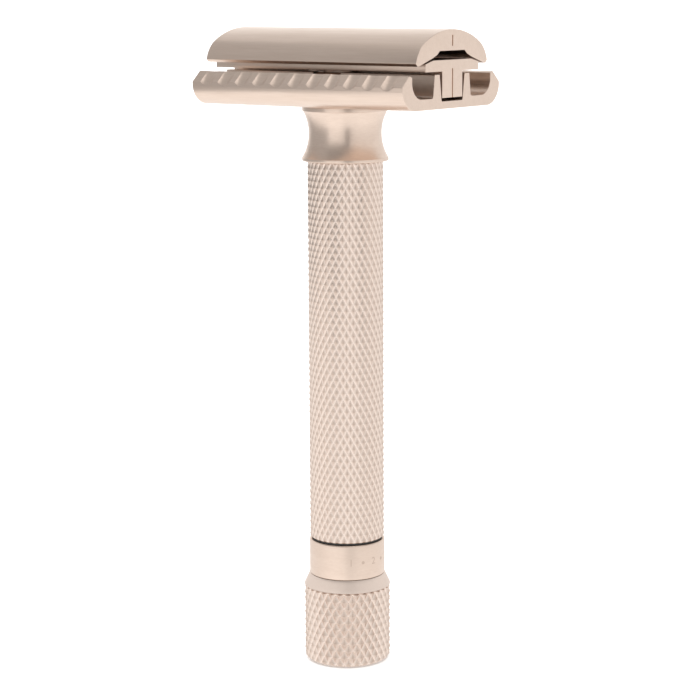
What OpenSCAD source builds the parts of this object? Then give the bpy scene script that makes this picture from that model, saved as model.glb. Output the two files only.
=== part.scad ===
// Adjustable double-edge safety razor that is set by twisting the knob at its foot.
//
// Origin: centre of the knob's flat foot. +Z runs up the handle, the two blade edges run along X,
// and the bars of the guard face -Y and +Y. Sizes are in millimetres. Heights inside the modules
// are measured down from the crown of the cap, as negative numbers, and from_crown() places them.

/* [Overall] */
// Height from the foot of the knob to the crown of the cap
overall_h = 106.4; // [106:0.1:107.5]
// Length of the cap, blade plate and guard along X
head_l = 42.2; // [40:0.1:44]

/* [Cap] */
// Width of the cap at its widest, over the two shoulders
cap_w = 20.56; // [20.2:0.02:20.6]
// Height of the cap from its lips to its crown
cap_h = 5.55; // [5.4:0.05:5.6]
// Radius of the crown
cap_crown_r = 15.8; // [15.4:0.1:16.4]
// Radius of each shoulder
cap_shoulder_r = 4.8; // [4.6:0.1:5]
// Depth of the cavity's roof below the crown
cap_roof = 3.33; // [3.1:0.01:3.4]
// Distance between the two locating pins
pin_span = 26; // [24:0.5:30]
// Radius of a locating pin
pin_r = 0.9; // [0.7:0.05:1]
// Radius of the threaded stud
stud_r = 2; // [1.9:0.05:2]
// Length of the stud below the cap's roof
stud_l = 41.7; // [38:0.1:42]

/* [Blade plate] */
// Width of the blade plate over its sloping shoulders
plate_w = 14.9; // [14.5:0.1:15.4]
// Width of the flat on top of the blade plate
plate_flat_w = 10.6; // [10:0.1:11]
// Depth of that flat below the crown
plate_top = 4.73; // [4.7:0.01:4.75]
// Thickness of the blade plate's flange
plate_t = 1.77; // [1.6:0.01:1.77]
// Width of the stem below the flange
stem_w = 5.64; // [5:0.02:5.7]
// Depth of the stem's lower edge below the crown
stem_bottom = 10.63; // [10:0.01:10.63]
// Radius of the plunger that guides the blade plate
plunger_r = 3.4; // [3.3:0.05:3.4]

/* [Guard] */
// Width of the guard over its two bars
guard_w = 27.3; // [27:0.1:27.4]
// Depth of the guard's flat underside below the crown
guard_bottom = 12.35; // [12.3:0.01:12.4]
// Number of scallops in each bar
scallop_count = 11; // [9:2:11]
// Distance between neighbouring scallops
scallop_pitch = 3.63; // [3.4:0.01:3.7]
// Radius of the round cut that makes a scallop
scallop_r = 1.9; // [1.6:0.1:2]
// Depth of that cut, square to the bar's sloping face
scallop_depth = 0.42; // [0.3:0.02:0.5]

/* [Handle] */
// Radius of the knurled tube
tube_r = 6.3; // [6.2:0.05:6.3]
// Radius of the tube's bore
tube_bore_r = 5.1; // [4.9:0.05:5.3]
// Depth of the tube's top end below the crown
tube_top = 21.5; // [21.3:0.1:22]
// Depth of the tube's lower end below the crown
tube_bottom = 85; // [84.8:0.1:85.4]
// Radius of the neck at its waist
neck_waist_r = 6; // [5.9:0.05:6.1]
// Radius of the hollow curve around the neck
neck_curve_r = 7.6; // [7.6:0.1:8]
// Radius of the neck's top rim
neck_rim_r = 7.08; // [7:0.02:7.1]

/* [Knob] */
// Radius of the dial ring
dial_r = 6.36; // [6.3:0.02:6.4]
// Height of the dial ring
dial_h = 5.94; // [5.7:0.02:6.1]
// Largest radius of the knob
knob_r = 7.3; // [7.2:0.05:7.5]
// Height of the knob's smooth conical shoulder
knob_cone_h = 2; // [1.8:0.1:2.4]
// Radius of the round edge at the knob's foot
knob_edge_r = 1.2; // [0.8:0.1:1.5]

/* [Spring] */
// Radius of the spring's coil, at the middle of its wire
spring_r = 4.1; // [4.1:0.05:4.2]
// Radius of the spring's wire
wire_r = 0.35; // [0.3:0.05:0.35]
// Number of turns in the spring
spring_turns = 8; // [6:1:9]

/* [Fits] */
// Radial clearance of a shaft that turns or slides in its hole
run_clear = 0.05; // [0.03:0.01:0.08]
// Radial clearance between two pieces that are fixed together
joint_clear = 0.02; // [0.01:0.01:0.02]

/* [Hidden] */

$fn = 96;
eps = 0.01;

// Colours of the finishes
satin_nickel = [0.80, 0.73, 0.67];
plain_brass = [0.78, 0.62, 0.34];
bare_steel = [0.62, 0.62, 0.63];
black_nylon = [0.06, 0.06, 0.06];

// Cap: centre of a shoulder's arc, and the direction in which that arc meets the crown's
shoulder_y = cap_w / 2 - cap_shoulder_r;
shoulder_span = cap_crown_r - cap_shoulder_r;
shoulder_z = sqrt(pow(shoulder_span, 2) - pow(shoulder_y, 2)) - cap_crown_r;
tangent_a = acos(shoulder_y / shoulder_span);
cap_lip_inset = 0.57;
cap_lip_land = 0.35;
cap_lip_bevel = 0.45;
cap_lip_y = cap_w / 2 - cap_lip_inset;
cap_lip_a = asin((cap_lip_bevel - cap_h - shoulder_z) / cap_shoulder_r);
cap_cavity = [[3.5, -cap_roof], [4.2, -3.9], [5.4, -4.4], [cap_lip_y - cap_lip_land, -cap_h]];
arc_steps = 14;

// Stud: a collar under the cap bears on the blade plate
stud_collar_r = 3;
stud_collar_bottom = plate_top - 0.13;
stud_socket = 1.7;
pin_socket = 2.2;
pin_bottom = 9;

// Alignment marks on the +X ends of the cap and the blade plate
mark_w = 0.3;
mark_depth = 0.2;

// Blade plate
flange_bottom = plate_top + plate_t;
plate_shoulder = 5.25;
stem_gap_r = 6;
plunger_bottom = 32.5;
plunger_spigot_r = 2.8;
plunger_spigot_top = plate_top + 0.22;
plunger_bore_r = stud_r + 0.08;
clip_groove_r = 2.95;
clip_top = 30.9;
clip_t = 0.8;
clip_r = 4.5;
washer_t = 0.58;

// Guard: one half of its section, from the channel out to the bar
channel_floor = 11.14;
channel_floor_y = 2.95;
rib_top = 6.95;
rib_in_y = 3.5;
rib_out_y = 4.85;
rib_foot_y = 5.3;
trough_floor = 10.6;
trough_y = 8.4;
trough_r = 2.6;
tip_in = [trough_y + trough_r, -7.15];
tip_out = [11.7, -6.9];
bar_y = guard_w / 2;
bar_corner = [bar_y, -8.6];
keel_y = 10.1;
keel_r = 3.6;
collar_r = 5.6;
collar_top = 7;
spigot_r = 4.3;
spigot_top = 7.2;

// Scallops: the cutter runs parallel to the sloping face between the bar's tip and its corner
bar_slope = bar_corner - tip_out;
slope_l = norm(bar_slope);
slope_out = [-bar_slope[1], bar_slope[0]] / slope_l;
cutter_mid = (tip_out + bar_corner) / 2 + slope_out * (scallop_r - scallop_depth);
cutter_tilt = atan2(-bar_slope[0], bar_slope[1]) + 180;
cutter_l = 8;

// Neck
waist_z = -17;
rim_top = guard_bottom + 0.3;
rim_bottom = 13.35;
base_top = 21;
spigot_bottom = 29.5;
bush_top = 14;
bush_bottom = 28.5;

// Spring, between the washer on the plunger and its seat in the tube
spring_top = plunger_bottom + washer_t + 0.04;
seat_top = 46;
seat_t = 2;
spring_l = seat_top - spring_top - 2 * wire_r - eps;
wire_sides = 6;
steps_per_turn = 18;

// Draw tube and nut: the nut pulls the stud down as the knob turns
nut_top = 36;
nut_bottom = 44;
nut_spigot_bottom = 48;
draw_r = 3.2;
draw_bore_r = 2.5;
draw_flange_r = 4.6;
draw_flange_top = 79.5;
draw_flange_t = 1.4;
draw_bore_bottom = 85.5;
draw_flats_top = 88;
draw_flats_w = 5.2;
draw_bottom = 96.5;
thrust_top = draw_flange_top + draw_flange_t + 0.05;
thrust_t = 0.6;
lower_bush_top = thrust_top + thrust_t + 0.05;

// Knob and dial ring
friction_top = tube_bottom + 0.02;
friction_t = 0.3;
dial_top = friction_top + friction_t + 0.05;
dial_bottom = dial_top + dial_h;
hub_r = 5;
hub_top = dial_top + 0.2;
knob_top = dial_bottom + 0.04;
knob_neck_r = dial_r + 0.04;
screw_r = 1.5;
screw_head_r = 3.4;
screw_head_top = overall_h - 3.8;
screw_head_t = 2.5;
screw_tip = 90;
screw_well_r = 3.8;
screw_slot_w = 0.9;
screw_slot_depth = 1;

// Moves children from the crown's frame, whose zero is the top of the cap, to the foot's
module from_crown() { translate([0, 0, overall_h]) children(); }

// Sweeps a section drawn as (Y, height) along the whole length of the head
module along_head() { rotate([90, 0, 90]) linear_extrude(head_l, center = true) children(); }

// Turns a profile drawn as (radius, height) about the handle's axis
module turned() { rotate_extrude() children(); }

// What a round edge of radius r takes off the lower outer corner of a section
module corner_waste(centre, r) {
    difference() {
        translate(centre - [0, r + 1]) square(r + 1);
        translate(centre) circle(r);
    }
}

// A ring between two depths below the crown
module ring(inner_r, outer_r, top, bottom) {
    translate([0, 0, -bottom]) difference() {
        cylinder(h = bottom - top, r = outer_r);
        translate([0, 0, -1]) cylinder(h = bottom - top + 2, r = inner_r);
    }
}

// A plain hole or pin between two depths below the crown
module rod(r, top, bottom) { translate([0, 0, -bottom]) cylinder(h = bottom - top, r = r); }

// A vertical alignment mark in the +X end of the head
module end_mark(top, bottom) {
    translate([head_l / 2 - mark_depth, -mark_w / 2, -bottom]) cube([1, mark_w, bottom - top]);
}

// ---- Cap ----

// Points along an arc about a centre, from one angle to another
function arc(centre, r, from, to) =
    [for (i = [0 : arc_steps]) let (a = from + (to - from) * i / arc_steps) centre + r * [cos(a), sin(a)]];

function mirrored(points) = [for (i = [len(points) - 1 : -1 : 0]) [-points[i][0], points[i][1]]];

module cap_section() {
    step_a = (180 - 2 * tangent_a) / arc_steps;
    side = [
        each cap_cavity,
        [cap_lip_y, -cap_h],
        each arc([shoulder_y, shoulder_z], cap_shoulder_r, cap_lip_a, tangent_a)];
    crown = arc([0, -cap_crown_r], cap_crown_r, tangent_a + step_a, 180 - tangent_a - step_a);
    polygon(concat(side, crown, mirrored(side)));
}

module cap() {
    color(satin_nickel) from_crown() difference() {
        along_head() cap_section();
        rod(stud_r + joint_clear, stud_socket, cap_roof + 1);
        for (side = [-1, 1]) translate([side * pin_span / 2, 0, 0])
            rod(pin_r + joint_clear, pin_socket, cap_roof + 1);
        end_mark(0.9, 2.6);
    }
}

module cap_stud() {
    color(satin_nickel) from_crown() {
        rod(stud_r, stud_socket + 0.05, cap_roof + stud_l - 0.5);
        rod(stud_collar_r, cap_roof, stud_collar_bottom);
        translate([0, 0, -cap_roof - stud_l]) cylinder(h = 0.5, r1 = stud_r - 0.5, r2 = stud_r);
    }
}

module locating_pins() {
    color(satin_nickel) from_crown() for (side = [-1, 1]) translate([side * pin_span / 2, 0, 0]) {
        rod(pin_r, pin_socket + 0.05, pin_bottom - 0.4);
        translate([0, 0, -pin_bottom]) cylinder(h = 0.4, r1 = pin_r - 0.35, r2 = pin_r);
    }
}

// ---- Blade plate and its plunger ----

module blade_plate_section() {
    flat_y = plate_flat_w / 2;
    edge_y = plate_w / 2;
    stem_y = stem_w / 2;
    polygon([[-flat_y, -plate_top], [flat_y, -plate_top], [edge_y, -plate_shoulder], [edge_y, -flange_bottom],
             [stem_y, -flange_bottom], [stem_y, -stem_bottom], [-stem_y, -stem_bottom],
             [-stem_y, -flange_bottom], [-edge_y, -flange_bottom], [-edge_y, -plate_shoulder]]);
}

module blade_plate() {
    color(satin_nickel) from_crown() difference() {
        along_head() blade_plate_section();
        rod(stem_gap_r, flange_bottom, stem_bottom + 1);
        rod(plunger_spigot_r + joint_clear, plate_top - 1, flange_bottom + 1);
        for (side = [-1, 1]) translate([side * pin_span / 2, 0, 0])
            rod(pin_r + 2 * run_clear, plate_top - 1, stem_bottom + 1);
        end_mark(6.1, stem_bottom + 1);
    }
}

module plate_plunger() {
    color(satin_nickel) from_crown() difference() {
        union() {
            rod(plunger_spigot_r, plunger_spigot_top, flange_bottom + eps);
            rod(plunger_r, flange_bottom, clip_top);
            rod(clip_groove_r, clip_top - eps, clip_top + clip_t + eps);
            rod(plunger_r, clip_top + clip_t, plunger_bottom);
        }
        rod(plunger_bore_r, plunger_spigot_top - 1, plunger_bottom + 1);
    }
}

module plunger_clip() {
    gap_w = 3;
    color(bare_steel) from_crown() difference() {
        ring(clip_groove_r + joint_clear, clip_r, clip_top + 0.05, clip_top + clip_t - 0.05);
        translate([0, -gap_w / 2, -clip_top - clip_t - 1]) cube([2 * clip_r, gap_w, clip_t + 2]);
    }
}

module spring_washer() {
    color(bare_steel) from_crown()
        ring(stud_r + 0.3, clip_r + 0.1, plunger_bottom + joint_clear, plunger_bottom + washer_t);
}

// ---- Guard ----

// Half of the guard's solid outline, on the +Y side
module guard_half_outline() {
    difference() {
        polygon([[-1, -guard_bottom], [bar_y, -guard_bottom], bar_corner, tip_out, tip_in,
                 [rib_out_y, -rib_top], [-1, -rib_top]]);
        corner_waste([keel_y, keel_r - guard_bottom], keel_r);
    }
}

// The lather trough between a rib and its bar
module trough() {
    difference() {
        polygon([[rib_foot_y, -trough_floor], [tip_in[0], -trough_floor], [tip_in[0], 0],
                 [rib_out_y, 0], [rib_out_y, -rib_top]]);
        corner_waste([trough_y, trough_r - trough_floor], trough_r);
    }
}

module guard_section() {
    for (side = [0, 1]) mirror([side, 0]) difference() {
        guard_half_outline();
        trough();
        polygon([[-2, -channel_floor], [channel_floor_y, -channel_floor], [rib_in_y, -rib_top],
                 [rib_in_y, 0], [-2, 0]]);
    }
}

module scallop_cutters() {
    for (side = [0, 1]) mirror([0, side, 0])
        for (i = [0 : scallop_count - 1])
            translate([(i - (scallop_count - 1) / 2) * scallop_pitch, cutter_mid[0], cutter_mid[1]])
                rotate([cutter_tilt, 0, 0]) cylinder(h = cutter_l, r = scallop_r, center = true);
}

module guard() {
    color(satin_nickel) from_crown() difference() {
        along_head() guard_section();
        scallop_cutters();
        rod(collar_r + joint_clear, 0, channel_floor);
        rod(spigot_r + joint_clear, 0, guard_bottom + 1);
    }
}

module guard_collar() {
    bevel = 0.35;
    color(satin_nickel) from_crown() turned()
        polygon([[spigot_r + joint_clear, -channel_floor], [collar_r, -channel_floor],
                 [collar_r, -collar_top - bevel], [collar_r - bevel, -collar_top],
                 [spigot_r + joint_clear, -collar_top]]);
}

// ---- Handle ----

module neck_profile() {
    base_r = neck_waist_r + 1.14;
    top_bore_r = plunger_r + 4 * run_clear;
    foot_r = tube_bore_r - joint_clear;
    difference() {
        polygon([[top_bore_r, -spigot_top], [spigot_r, -spigot_top], [spigot_r, -guard_bottom],
                 [neck_rim_r - 0.3, -guard_bottom], [neck_rim_r, -rim_top], [neck_rim_r, -rim_bottom],
                 [base_r, -rim_bottom], [base_r, -tube_top], [foot_r, -tube_top], [foot_r, -spigot_bottom],
                 [spigot_r, -spigot_bottom], [spigot_r, -bush_top], [top_bore_r, -bush_top]]);
        intersection() {
            translate([neck_waist_r + neck_curve_r, waist_z]) circle(neck_curve_r);
            translate([0, -base_top]) square([2 * neck_curve_r, base_top - rim_bottom]);
        }
    }
}

module neck() { color(satin_nickel) from_crown() turned() neck_profile(); }

module neck_bush() {
    color(plain_brass) from_crown()
        ring(plunger_r + run_clear, spigot_r - joint_clear, bush_top + joint_clear, bush_bottom);
}

module handle_tube() {
    bevel = 0.25;
    color(satin_nickel) from_crown() turned()
        polygon([[tube_bore_r, -tube_top], [tube_r - bevel, -tube_top], [tube_r, -tube_top - bevel],
                 [tube_r, -tube_bottom + bevel], [tube_r - bevel, -tube_bottom],
                 [tube_bore_r, -tube_bottom]]);
}

module spring_seat() {
    color(plain_brass) from_crown()
        ring(draw_r + 2 * run_clear, tube_bore_r - joint_clear, seat_top, seat_top + seat_t);
}

// Height of the wire above the spring's lower end after t turns, with one closed turn at each end
function wire_rise(t) =
    let (closed = 2 * wire_r + 0.02, open_l = spring_l - 2 * closed, open_turns = spring_turns - 2)
    t < 1 ? t * closed
    : t > spring_turns - 1 ? spring_l - (spring_turns - t) * closed
    : closed + (t - 1) * open_l / open_turns;

// The corners of the wire's section after step i
function wire_section(i) =
    let (t = i / steps_per_turn, a = 360 * t)
    [for (k = [0 : wire_sides - 1])
        let (b = 360 * k / wire_sides, r = spring_r + wire_r * cos(b))
        [r * cos(a), r * sin(a), wire_rise(t) + wire_r * sin(b)]];

module plate_spring() {
    last = spring_turns * steps_per_turn;
    points = [for (i = [0 : last]) each wire_section(i)];
    walls = [for (i = [0 : last - 1], k = [0 : wire_sides - 1])
        let (a = i * wire_sides + k, b = i * wire_sides + (k + 1) % wire_sides)
        each [[a, a + wire_sides, b + wire_sides], [a, b + wire_sides, b]]];
    first_end = [for (k = [0 : wire_sides - 1]) k];
    last_end = [for (k = [wire_sides - 1 : -1 : 0]) last * wire_sides + k];
    color(bare_steel) from_crown() translate([0, 0, wire_r + eps / 2 - seat_top])
        polyhedron(points, concat(walls, [first_end, last_end]));
}

module thrust_washer() {
    color(plain_brass) from_crown()
        ring(draw_r + 2 * run_clear, draw_flange_r, thrust_top, thrust_top + thrust_t);
}

module lower_bush() {
    color(plain_brass) from_crown()
        ring(draw_r + run_clear, tube_bore_r - joint_clear, lower_bush_top, tube_bottom);
}

module friction_ring() {
    color(black_nylon) from_crown()
        ring(draw_r + 0.4, tube_r - 0.35, friction_top, friction_top + friction_t);
}

// ---- Draw tube, dial ring and knob ----

module draw_nut() {
    lead_in = 0.4;
    color(plain_brass) from_crown() difference() {
        union() {
            rod(draw_r, nut_top, nut_bottom);
            rod(draw_bore_r - joint_clear, nut_bottom - eps, nut_spigot_bottom);
        }
        rod(stud_r + run_clear, nut_top - 1, nut_spigot_bottom + 1);
        translate([0, 0, -nut_top - lead_in])
            cylinder(h = lead_in + eps, r1 = stud_r + run_clear, r2 = stud_r + run_clear + lead_in);
    }
}

// The draw tube's lower end, with two flats that turn it with the knob
module flatted_end(r, w, top, bottom) {
    intersection() {
        rod(r, top, bottom);
        translate([-r - 1, -w / 2, -bottom - 1]) cube([2 * r + 2, w, bottom - top + 2]);
    }
}

module draw_tube() {
    color(plain_brass) from_crown() difference() {
        union() {
            rod(draw_r, nut_bottom, draw_flats_top);
            rod(draw_flange_r, draw_flange_top, draw_flange_top + draw_flange_t);
            flatted_end(draw_r, draw_flats_w, draw_flats_top - eps, draw_bottom);
        }
        rod(draw_bore_r, nut_bottom - 1, draw_bore_bottom);
        rod(screw_r + joint_clear, draw_bore_bottom + 2, draw_bottom + 1);
    }
}

module dial_ring() {
    bevel = 0.15;
    color(satin_nickel) from_crown() turned()
        polygon([[hub_r, -dial_top], [dial_r - bevel, -dial_top], [dial_r, -dial_top - bevel],
                 [dial_r, -dial_bottom], [hub_r, -dial_bottom]]);
}

module knob_profile() {
    difference() {
        polygon([[0, -hub_top], [hub_r - joint_clear, -hub_top], [hub_r - joint_clear, -knob_top],
                 [knob_neck_r, -knob_top], [knob_r, -knob_top - knob_cone_h],
                 [knob_r, -overall_h], [0, -overall_h]]);
        corner_waste([knob_r - knob_edge_r, knob_edge_r - overall_h], knob_edge_r);
    }
}

module knob() {
    color(satin_nickel) from_crown() difference() {
        turned() knob_profile();
        rod(draw_r + joint_clear, hub_top - 1, draw_flats_top);
        flatted_end(draw_r + joint_clear, draw_flats_w + 2 * joint_clear, draw_flats_top - eps,
                    draw_bottom + 0.05);
        rod(screw_r + 0.1, draw_bottom, screw_head_top);
        rod(screw_well_r, screw_head_top - 0.05, overall_h + 1);
    }
}

module knob_screw() {
    color(bare_steel) from_crown() difference() {
        union() {
            rod(screw_r, screw_tip, screw_head_top + eps);
            rod(screw_head_r, screw_head_top, screw_head_top + screw_head_t);
        }
        translate([-screw_head_r - 1, -screw_slot_w / 2, -screw_head_top - screw_head_t - 1])
            cube([2 * screw_head_r + 2, screw_slot_w, 1 + screw_slot_depth]);
    }
}

cap();
cap_stud();
locating_pins();
blade_plate();
plate_plunger();
plunger_clip();
spring_washer();
guard();
guard_collar();
neck();
neck_bush();
handle_tube();
plate_spring();
spring_seat();
thrust_washer();
lower_bush();
friction_ring();
draw_nut();
draw_tube();
dial_ring();
knob();
knob_screw();
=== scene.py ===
"""Adjustable double-edge safety razor in satin nickel.

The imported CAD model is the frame. Each sub-assembly is a class that keeps its own sizes, reads the places
it needs from the frame, builds closed meshes, dresses them and hangs them on the CAD body they move with.
Sizes are in millimetres and become metres when a mesh is made. Sections of the head and profiles of turned
pieces give heights measured from the crown of the cap, so they are negative.
"""

import logging
import math
from contextlib import contextmanager
from dataclasses import dataclass, field
from enum import Enum
from typing import Iterable, Iterator, Optional, Sequence, Union

import bmesh
import bpy
from mathutils import Matrix, Vector

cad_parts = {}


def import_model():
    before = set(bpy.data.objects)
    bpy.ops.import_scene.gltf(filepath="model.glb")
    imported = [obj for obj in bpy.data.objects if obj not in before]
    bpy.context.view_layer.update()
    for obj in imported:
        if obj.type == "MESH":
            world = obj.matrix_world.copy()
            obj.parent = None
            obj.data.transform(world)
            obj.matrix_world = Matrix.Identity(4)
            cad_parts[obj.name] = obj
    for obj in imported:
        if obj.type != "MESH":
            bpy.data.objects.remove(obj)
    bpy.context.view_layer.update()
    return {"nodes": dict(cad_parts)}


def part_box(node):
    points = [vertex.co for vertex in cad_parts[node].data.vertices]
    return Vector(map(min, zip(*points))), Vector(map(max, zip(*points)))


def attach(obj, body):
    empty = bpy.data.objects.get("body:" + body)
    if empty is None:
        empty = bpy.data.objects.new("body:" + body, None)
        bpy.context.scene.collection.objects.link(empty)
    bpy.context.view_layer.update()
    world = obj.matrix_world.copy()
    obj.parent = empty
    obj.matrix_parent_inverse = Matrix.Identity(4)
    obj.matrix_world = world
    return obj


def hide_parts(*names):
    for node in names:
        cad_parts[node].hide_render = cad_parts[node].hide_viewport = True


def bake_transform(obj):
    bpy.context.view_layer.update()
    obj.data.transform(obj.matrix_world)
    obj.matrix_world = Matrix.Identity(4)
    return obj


LOG = logging.getLogger("safety_razor")
MM = 0.001
WELD = 1e-7  # Corners nearer than this, in metres, are one corner.
TURN = 2 * math.pi

Point = tuple[float, float]
Colour = tuple[float, float, float]
Feed = Union[bpy.types.NodeSocket, float, tuple, str, bool, int]


# ---- Places taken from the frame ----


@dataclass(frozen=True)
class Place:
    """The box of a CAD node at rest, in millimetres."""

    lo: Vector
    hi: Vector

    @classmethod
    def of(cls, node: str) -> "Place":
        """Reads the box of the named node from the frame."""
        lo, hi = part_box(node)
        return cls(Vector(lo) / MM, Vector(hi) / MM)

    @property
    def size(self) -> Vector:
        """Length of the box along X, Y and Z."""
        return self.hi - self.lo

    @property
    def radius(self) -> float:
        """Radius of a turned node about the handle's axis."""
        return self.hi.x


class Body(str, Enum):
    """The bodies that move against each other."""

    HANDLE = "handle"
    KNOB = "setting_knob"
    PLATE = "floating_plate"
    CAP = "lift_off_cap"


class Slot(str, Enum):
    """The record's material slots."""

    SATIN = "satin_metal"
    STEEL = "spring_steel"
    BRASS = "plain_brass"
    NYLON = "black_nylon"


# ---- Outlines ----


def arc(centre: Point, radius: float, start: float, stop: float, steps: int) -> list[Point]:
    """Points along an arc.

    Args:
        centre: Middle of the circle.
        radius: Radius of the circle.
        start: Angle of the first point, in degrees.
        stop: Angle of the last point, in degrees.
        steps: Number of spans between them.

    Returns:
        steps + 1 points.
    """
    angles = (math.radians(start + (stop - start) * i / steps) for i in range(steps + 1))
    return [(centre[0] + radius * math.cos(a), centre[1] + radius * math.sin(a)) for a in angles]


def rounded_corner(before: Point, corner: Point, after: Point, radius: float, steps: int = 3) -> list[Point]:
    """The small arc that rounds one corner of an outline.

    Args:
        before: The outline's point before the corner.
        corner: The corner itself.
        after: The outline's point after the corner.
        radius: Radius wanted; it shrinks where the sides beside the corner are short.
        steps: Number of spans in the arc.

    Returns:
        The arc's points, or the corner alone where the outline hardly turns.
    """
    gentlest = math.radians(168)
    back = Vector(before) - Vector(corner)
    ahead = Vector(after) - Vector(corner)
    angle = back.angle(ahead)
    if angle > gentlest or radius <= 0:
        return [corner]
    reach = min(radius / math.tan(angle / 2), 0.45 * back.length, 0.45 * ahead.length)
    true_radius = reach * math.tan(angle / 2)
    back.normalize()
    ahead.normalize()
    centre = Vector(corner) + (back + ahead).normalized() * true_radius / math.sin(angle / 2)
    first = Vector(corner) + back * reach - centre
    last = Vector(corner) + ahead * reach - centre
    start = math.atan2(first.y, first.x)
    sweep = (math.atan2(last.y, last.x) - start + math.pi) % TURN - math.pi
    return arc(tuple(centre), true_radius, math.degrees(start), math.degrees(start + sweep), steps)


def softened(outline: Sequence[Point], radius: float, closed: bool = True) -> list[Point]:
    """Rounds every real corner of an outline.

    Args:
        outline: The points in order.
        radius: Radius of the rounding.
        closed: Whether the last point joins the first; otherwise both ends stay as they are.

    Returns:
        The points of the rounded outline.
    """
    count = len(outline)
    points: list[Point] = []
    for i, corner in enumerate(outline):
        if not closed and i in (0, count - 1):
            points.append(corner)
            continue
        points += rounded_corner(outline[i - 1], corner, outline[(i + 1) % count], radius)
    return points


def mirrored(points: Sequence[Point]) -> list[Point]:
    """The same points on the other side of the vertical axis, in the order that carries an outline on."""
    return [(-y, z) for y, z in reversed(points)]


def inset(outline: Sequence[Point], distance: float) -> list[Point]:
    """Moves a counter-clockwise outline inwards by a small distance."""
    count = len(outline)
    points: list[Point] = []
    for i in range(count):
        here = Vector(outline[i])
        along_a = (here - Vector(outline[i - 1])).normalized()
        along_b = (Vector(outline[(i + 1) % count]) - here).normalized()
        inward = Vector((-along_a.y - along_b.y, along_a.x + along_b.x))
        shift = inward * (2 * distance / max(inward.length_squared, 0.5))
        points.append(tuple(here + shift))
    return points


# ---- Meshes ----


def make_mesh(name: str, points: Iterable[Sequence[float]], faces: Iterable[Sequence[int]]) -> bpy.types.Mesh:
    """Makes a mesh from points in millimetres.

    Args:
        name: Name of the mesh.
        points: Corners in millimetres.
        faces: Corner numbers of each face.

    Returns:
        The mesh in metres, with its faces turned outwards.
    """
    mesh = bpy.data.meshes.new(name)
    mesh.from_pydata([Vector(p) * MM for p in points], [], list(faces))
    close_up(mesh)
    return mesh


@contextmanager
def reshaping(mesh: bpy.types.Mesh) -> Iterator[bmesh.types.BMesh]:
    """Opens a mesh for editing and writes the result back into it."""
    shell = bmesh.new()
    shell.from_mesh(mesh)
    yield shell
    shell.to_mesh(mesh)
    shell.free()


def close_up(mesh: bpy.types.Mesh) -> None:
    """Merges corners that coincide, splits many-sided faces and turns every face outwards."""
    with reshaping(mesh) as shell:
        bmesh.ops.remove_doubles(shell, verts=shell.verts, dist=WELD)
        bmesh.ops.dissolve_degenerate(shell, edges=shell.edges, dist=WELD)
        bmesh.ops.triangulate(shell, faces=[face for face in shell.faces if len(face.verts) > 4])
        bmesh.ops.recalc_face_normals(shell, faces=shell.faces)


def make_object(name: str, mesh: bpy.types.Mesh) -> bpy.types.Object:
    """Puts a mesh into the scene as an object at the origin."""
    piece = bpy.data.objects.new(name, mesh)
    bpy.context.scene.collection.objects.link(piece)
    return piece


def settle(piece: bpy.types.Object) -> bpy.types.Object:
    """Turns a piece with modifiers into a plain mesh and drops the modifiers."""
    depsgraph = bpy.context.evaluated_depsgraph_get()
    mesh = bpy.data.meshes.new_from_object(
        piece.evaluated_get(depsgraph), preserve_all_data_layers=True, depsgraph=depsgraph)
    piece.modifiers.clear()
    piece.data = mesh
    return piece


def carve(piece: bpy.types.Object, cutters: Sequence[bpy.types.Object]) -> bpy.types.Object:
    """Cuts solids out of a piece.

    Args:
        piece: The piece to cut.
        cutters: The solids to take away; they are removed from the scene afterwards.

    Returns:
        The piece, as a plain mesh.
    """
    for cutter in cutters:
        cut = piece.modifiers.new(cutter.name, "BOOLEAN")
        cut.operation = "DIFFERENCE"
        cut.solver = "MANIFOLD"
        cut.object = cutter
    settle(piece)
    close_up(piece.data)
    for cutter in cutters:
        bpy.data.objects.remove(cutter)
    return piece


@dataclass(frozen=True)
class Hoop:
    """One ring of a turned mesh: its radius, its height, and by how many half columns it is turned back."""

    radius: float
    height: float
    lag: float = 0.0


def turned_mesh(name: str, hoops: Sequence[Hoop], columns: int, split: bool = False,
                ring: bool = False) -> bpy.types.Mesh:
    """Joins hoops round the Z axis into a closed mesh.

    Args:
        name: Name of the mesh.
        hoops: The rings in order; one with no radius is a pole.
        columns: Corners in a ring.
        split: Whether each face is split along the diagonal that a right-handed groove follows.
        ring: Whether the last hoop joins the first.

    Returns:
        The mesh.
    """
    points: list[tuple[float, float, float]] = []
    rings: list[list[int]] = []
    for hoop in hoops:
        first = len(points)
        if hoop.radius < 1e-6:
            points.append((0.0, 0.0, hoop.height))
            rings.append([first] * columns)
            continue
        for i in range(columns):
            angle = TURN * (i - hoop.lag / 2) / columns
            points.append((hoop.radius * math.cos(angle), hoop.radius * math.sin(angle), hoop.height))
        rings.append(list(range(first, first + columns)))
    pairs = list(zip(rings, rings[1:]))
    if ring:
        pairs.append((rings[-1], rings[0]))
    faces: list[tuple[int, ...]] = []
    for upper, lower in pairs:
        for i in range(columns):
            k = (i + 1) % columns
            if upper[i] == upper[k]:
                faces.append((upper[i], lower[i], lower[k]))
            elif lower[i] == lower[k]:
                faces.append((upper[i], lower[i], upper[k]))
            elif split:
                faces += [(upper[i], lower[i], lower[k]), (upper[i], lower[k], upper[k])]
            else:
                faces.append((upper[i], lower[i], lower[k], upper[k]))
    return make_mesh(name, points, faces)


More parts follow.
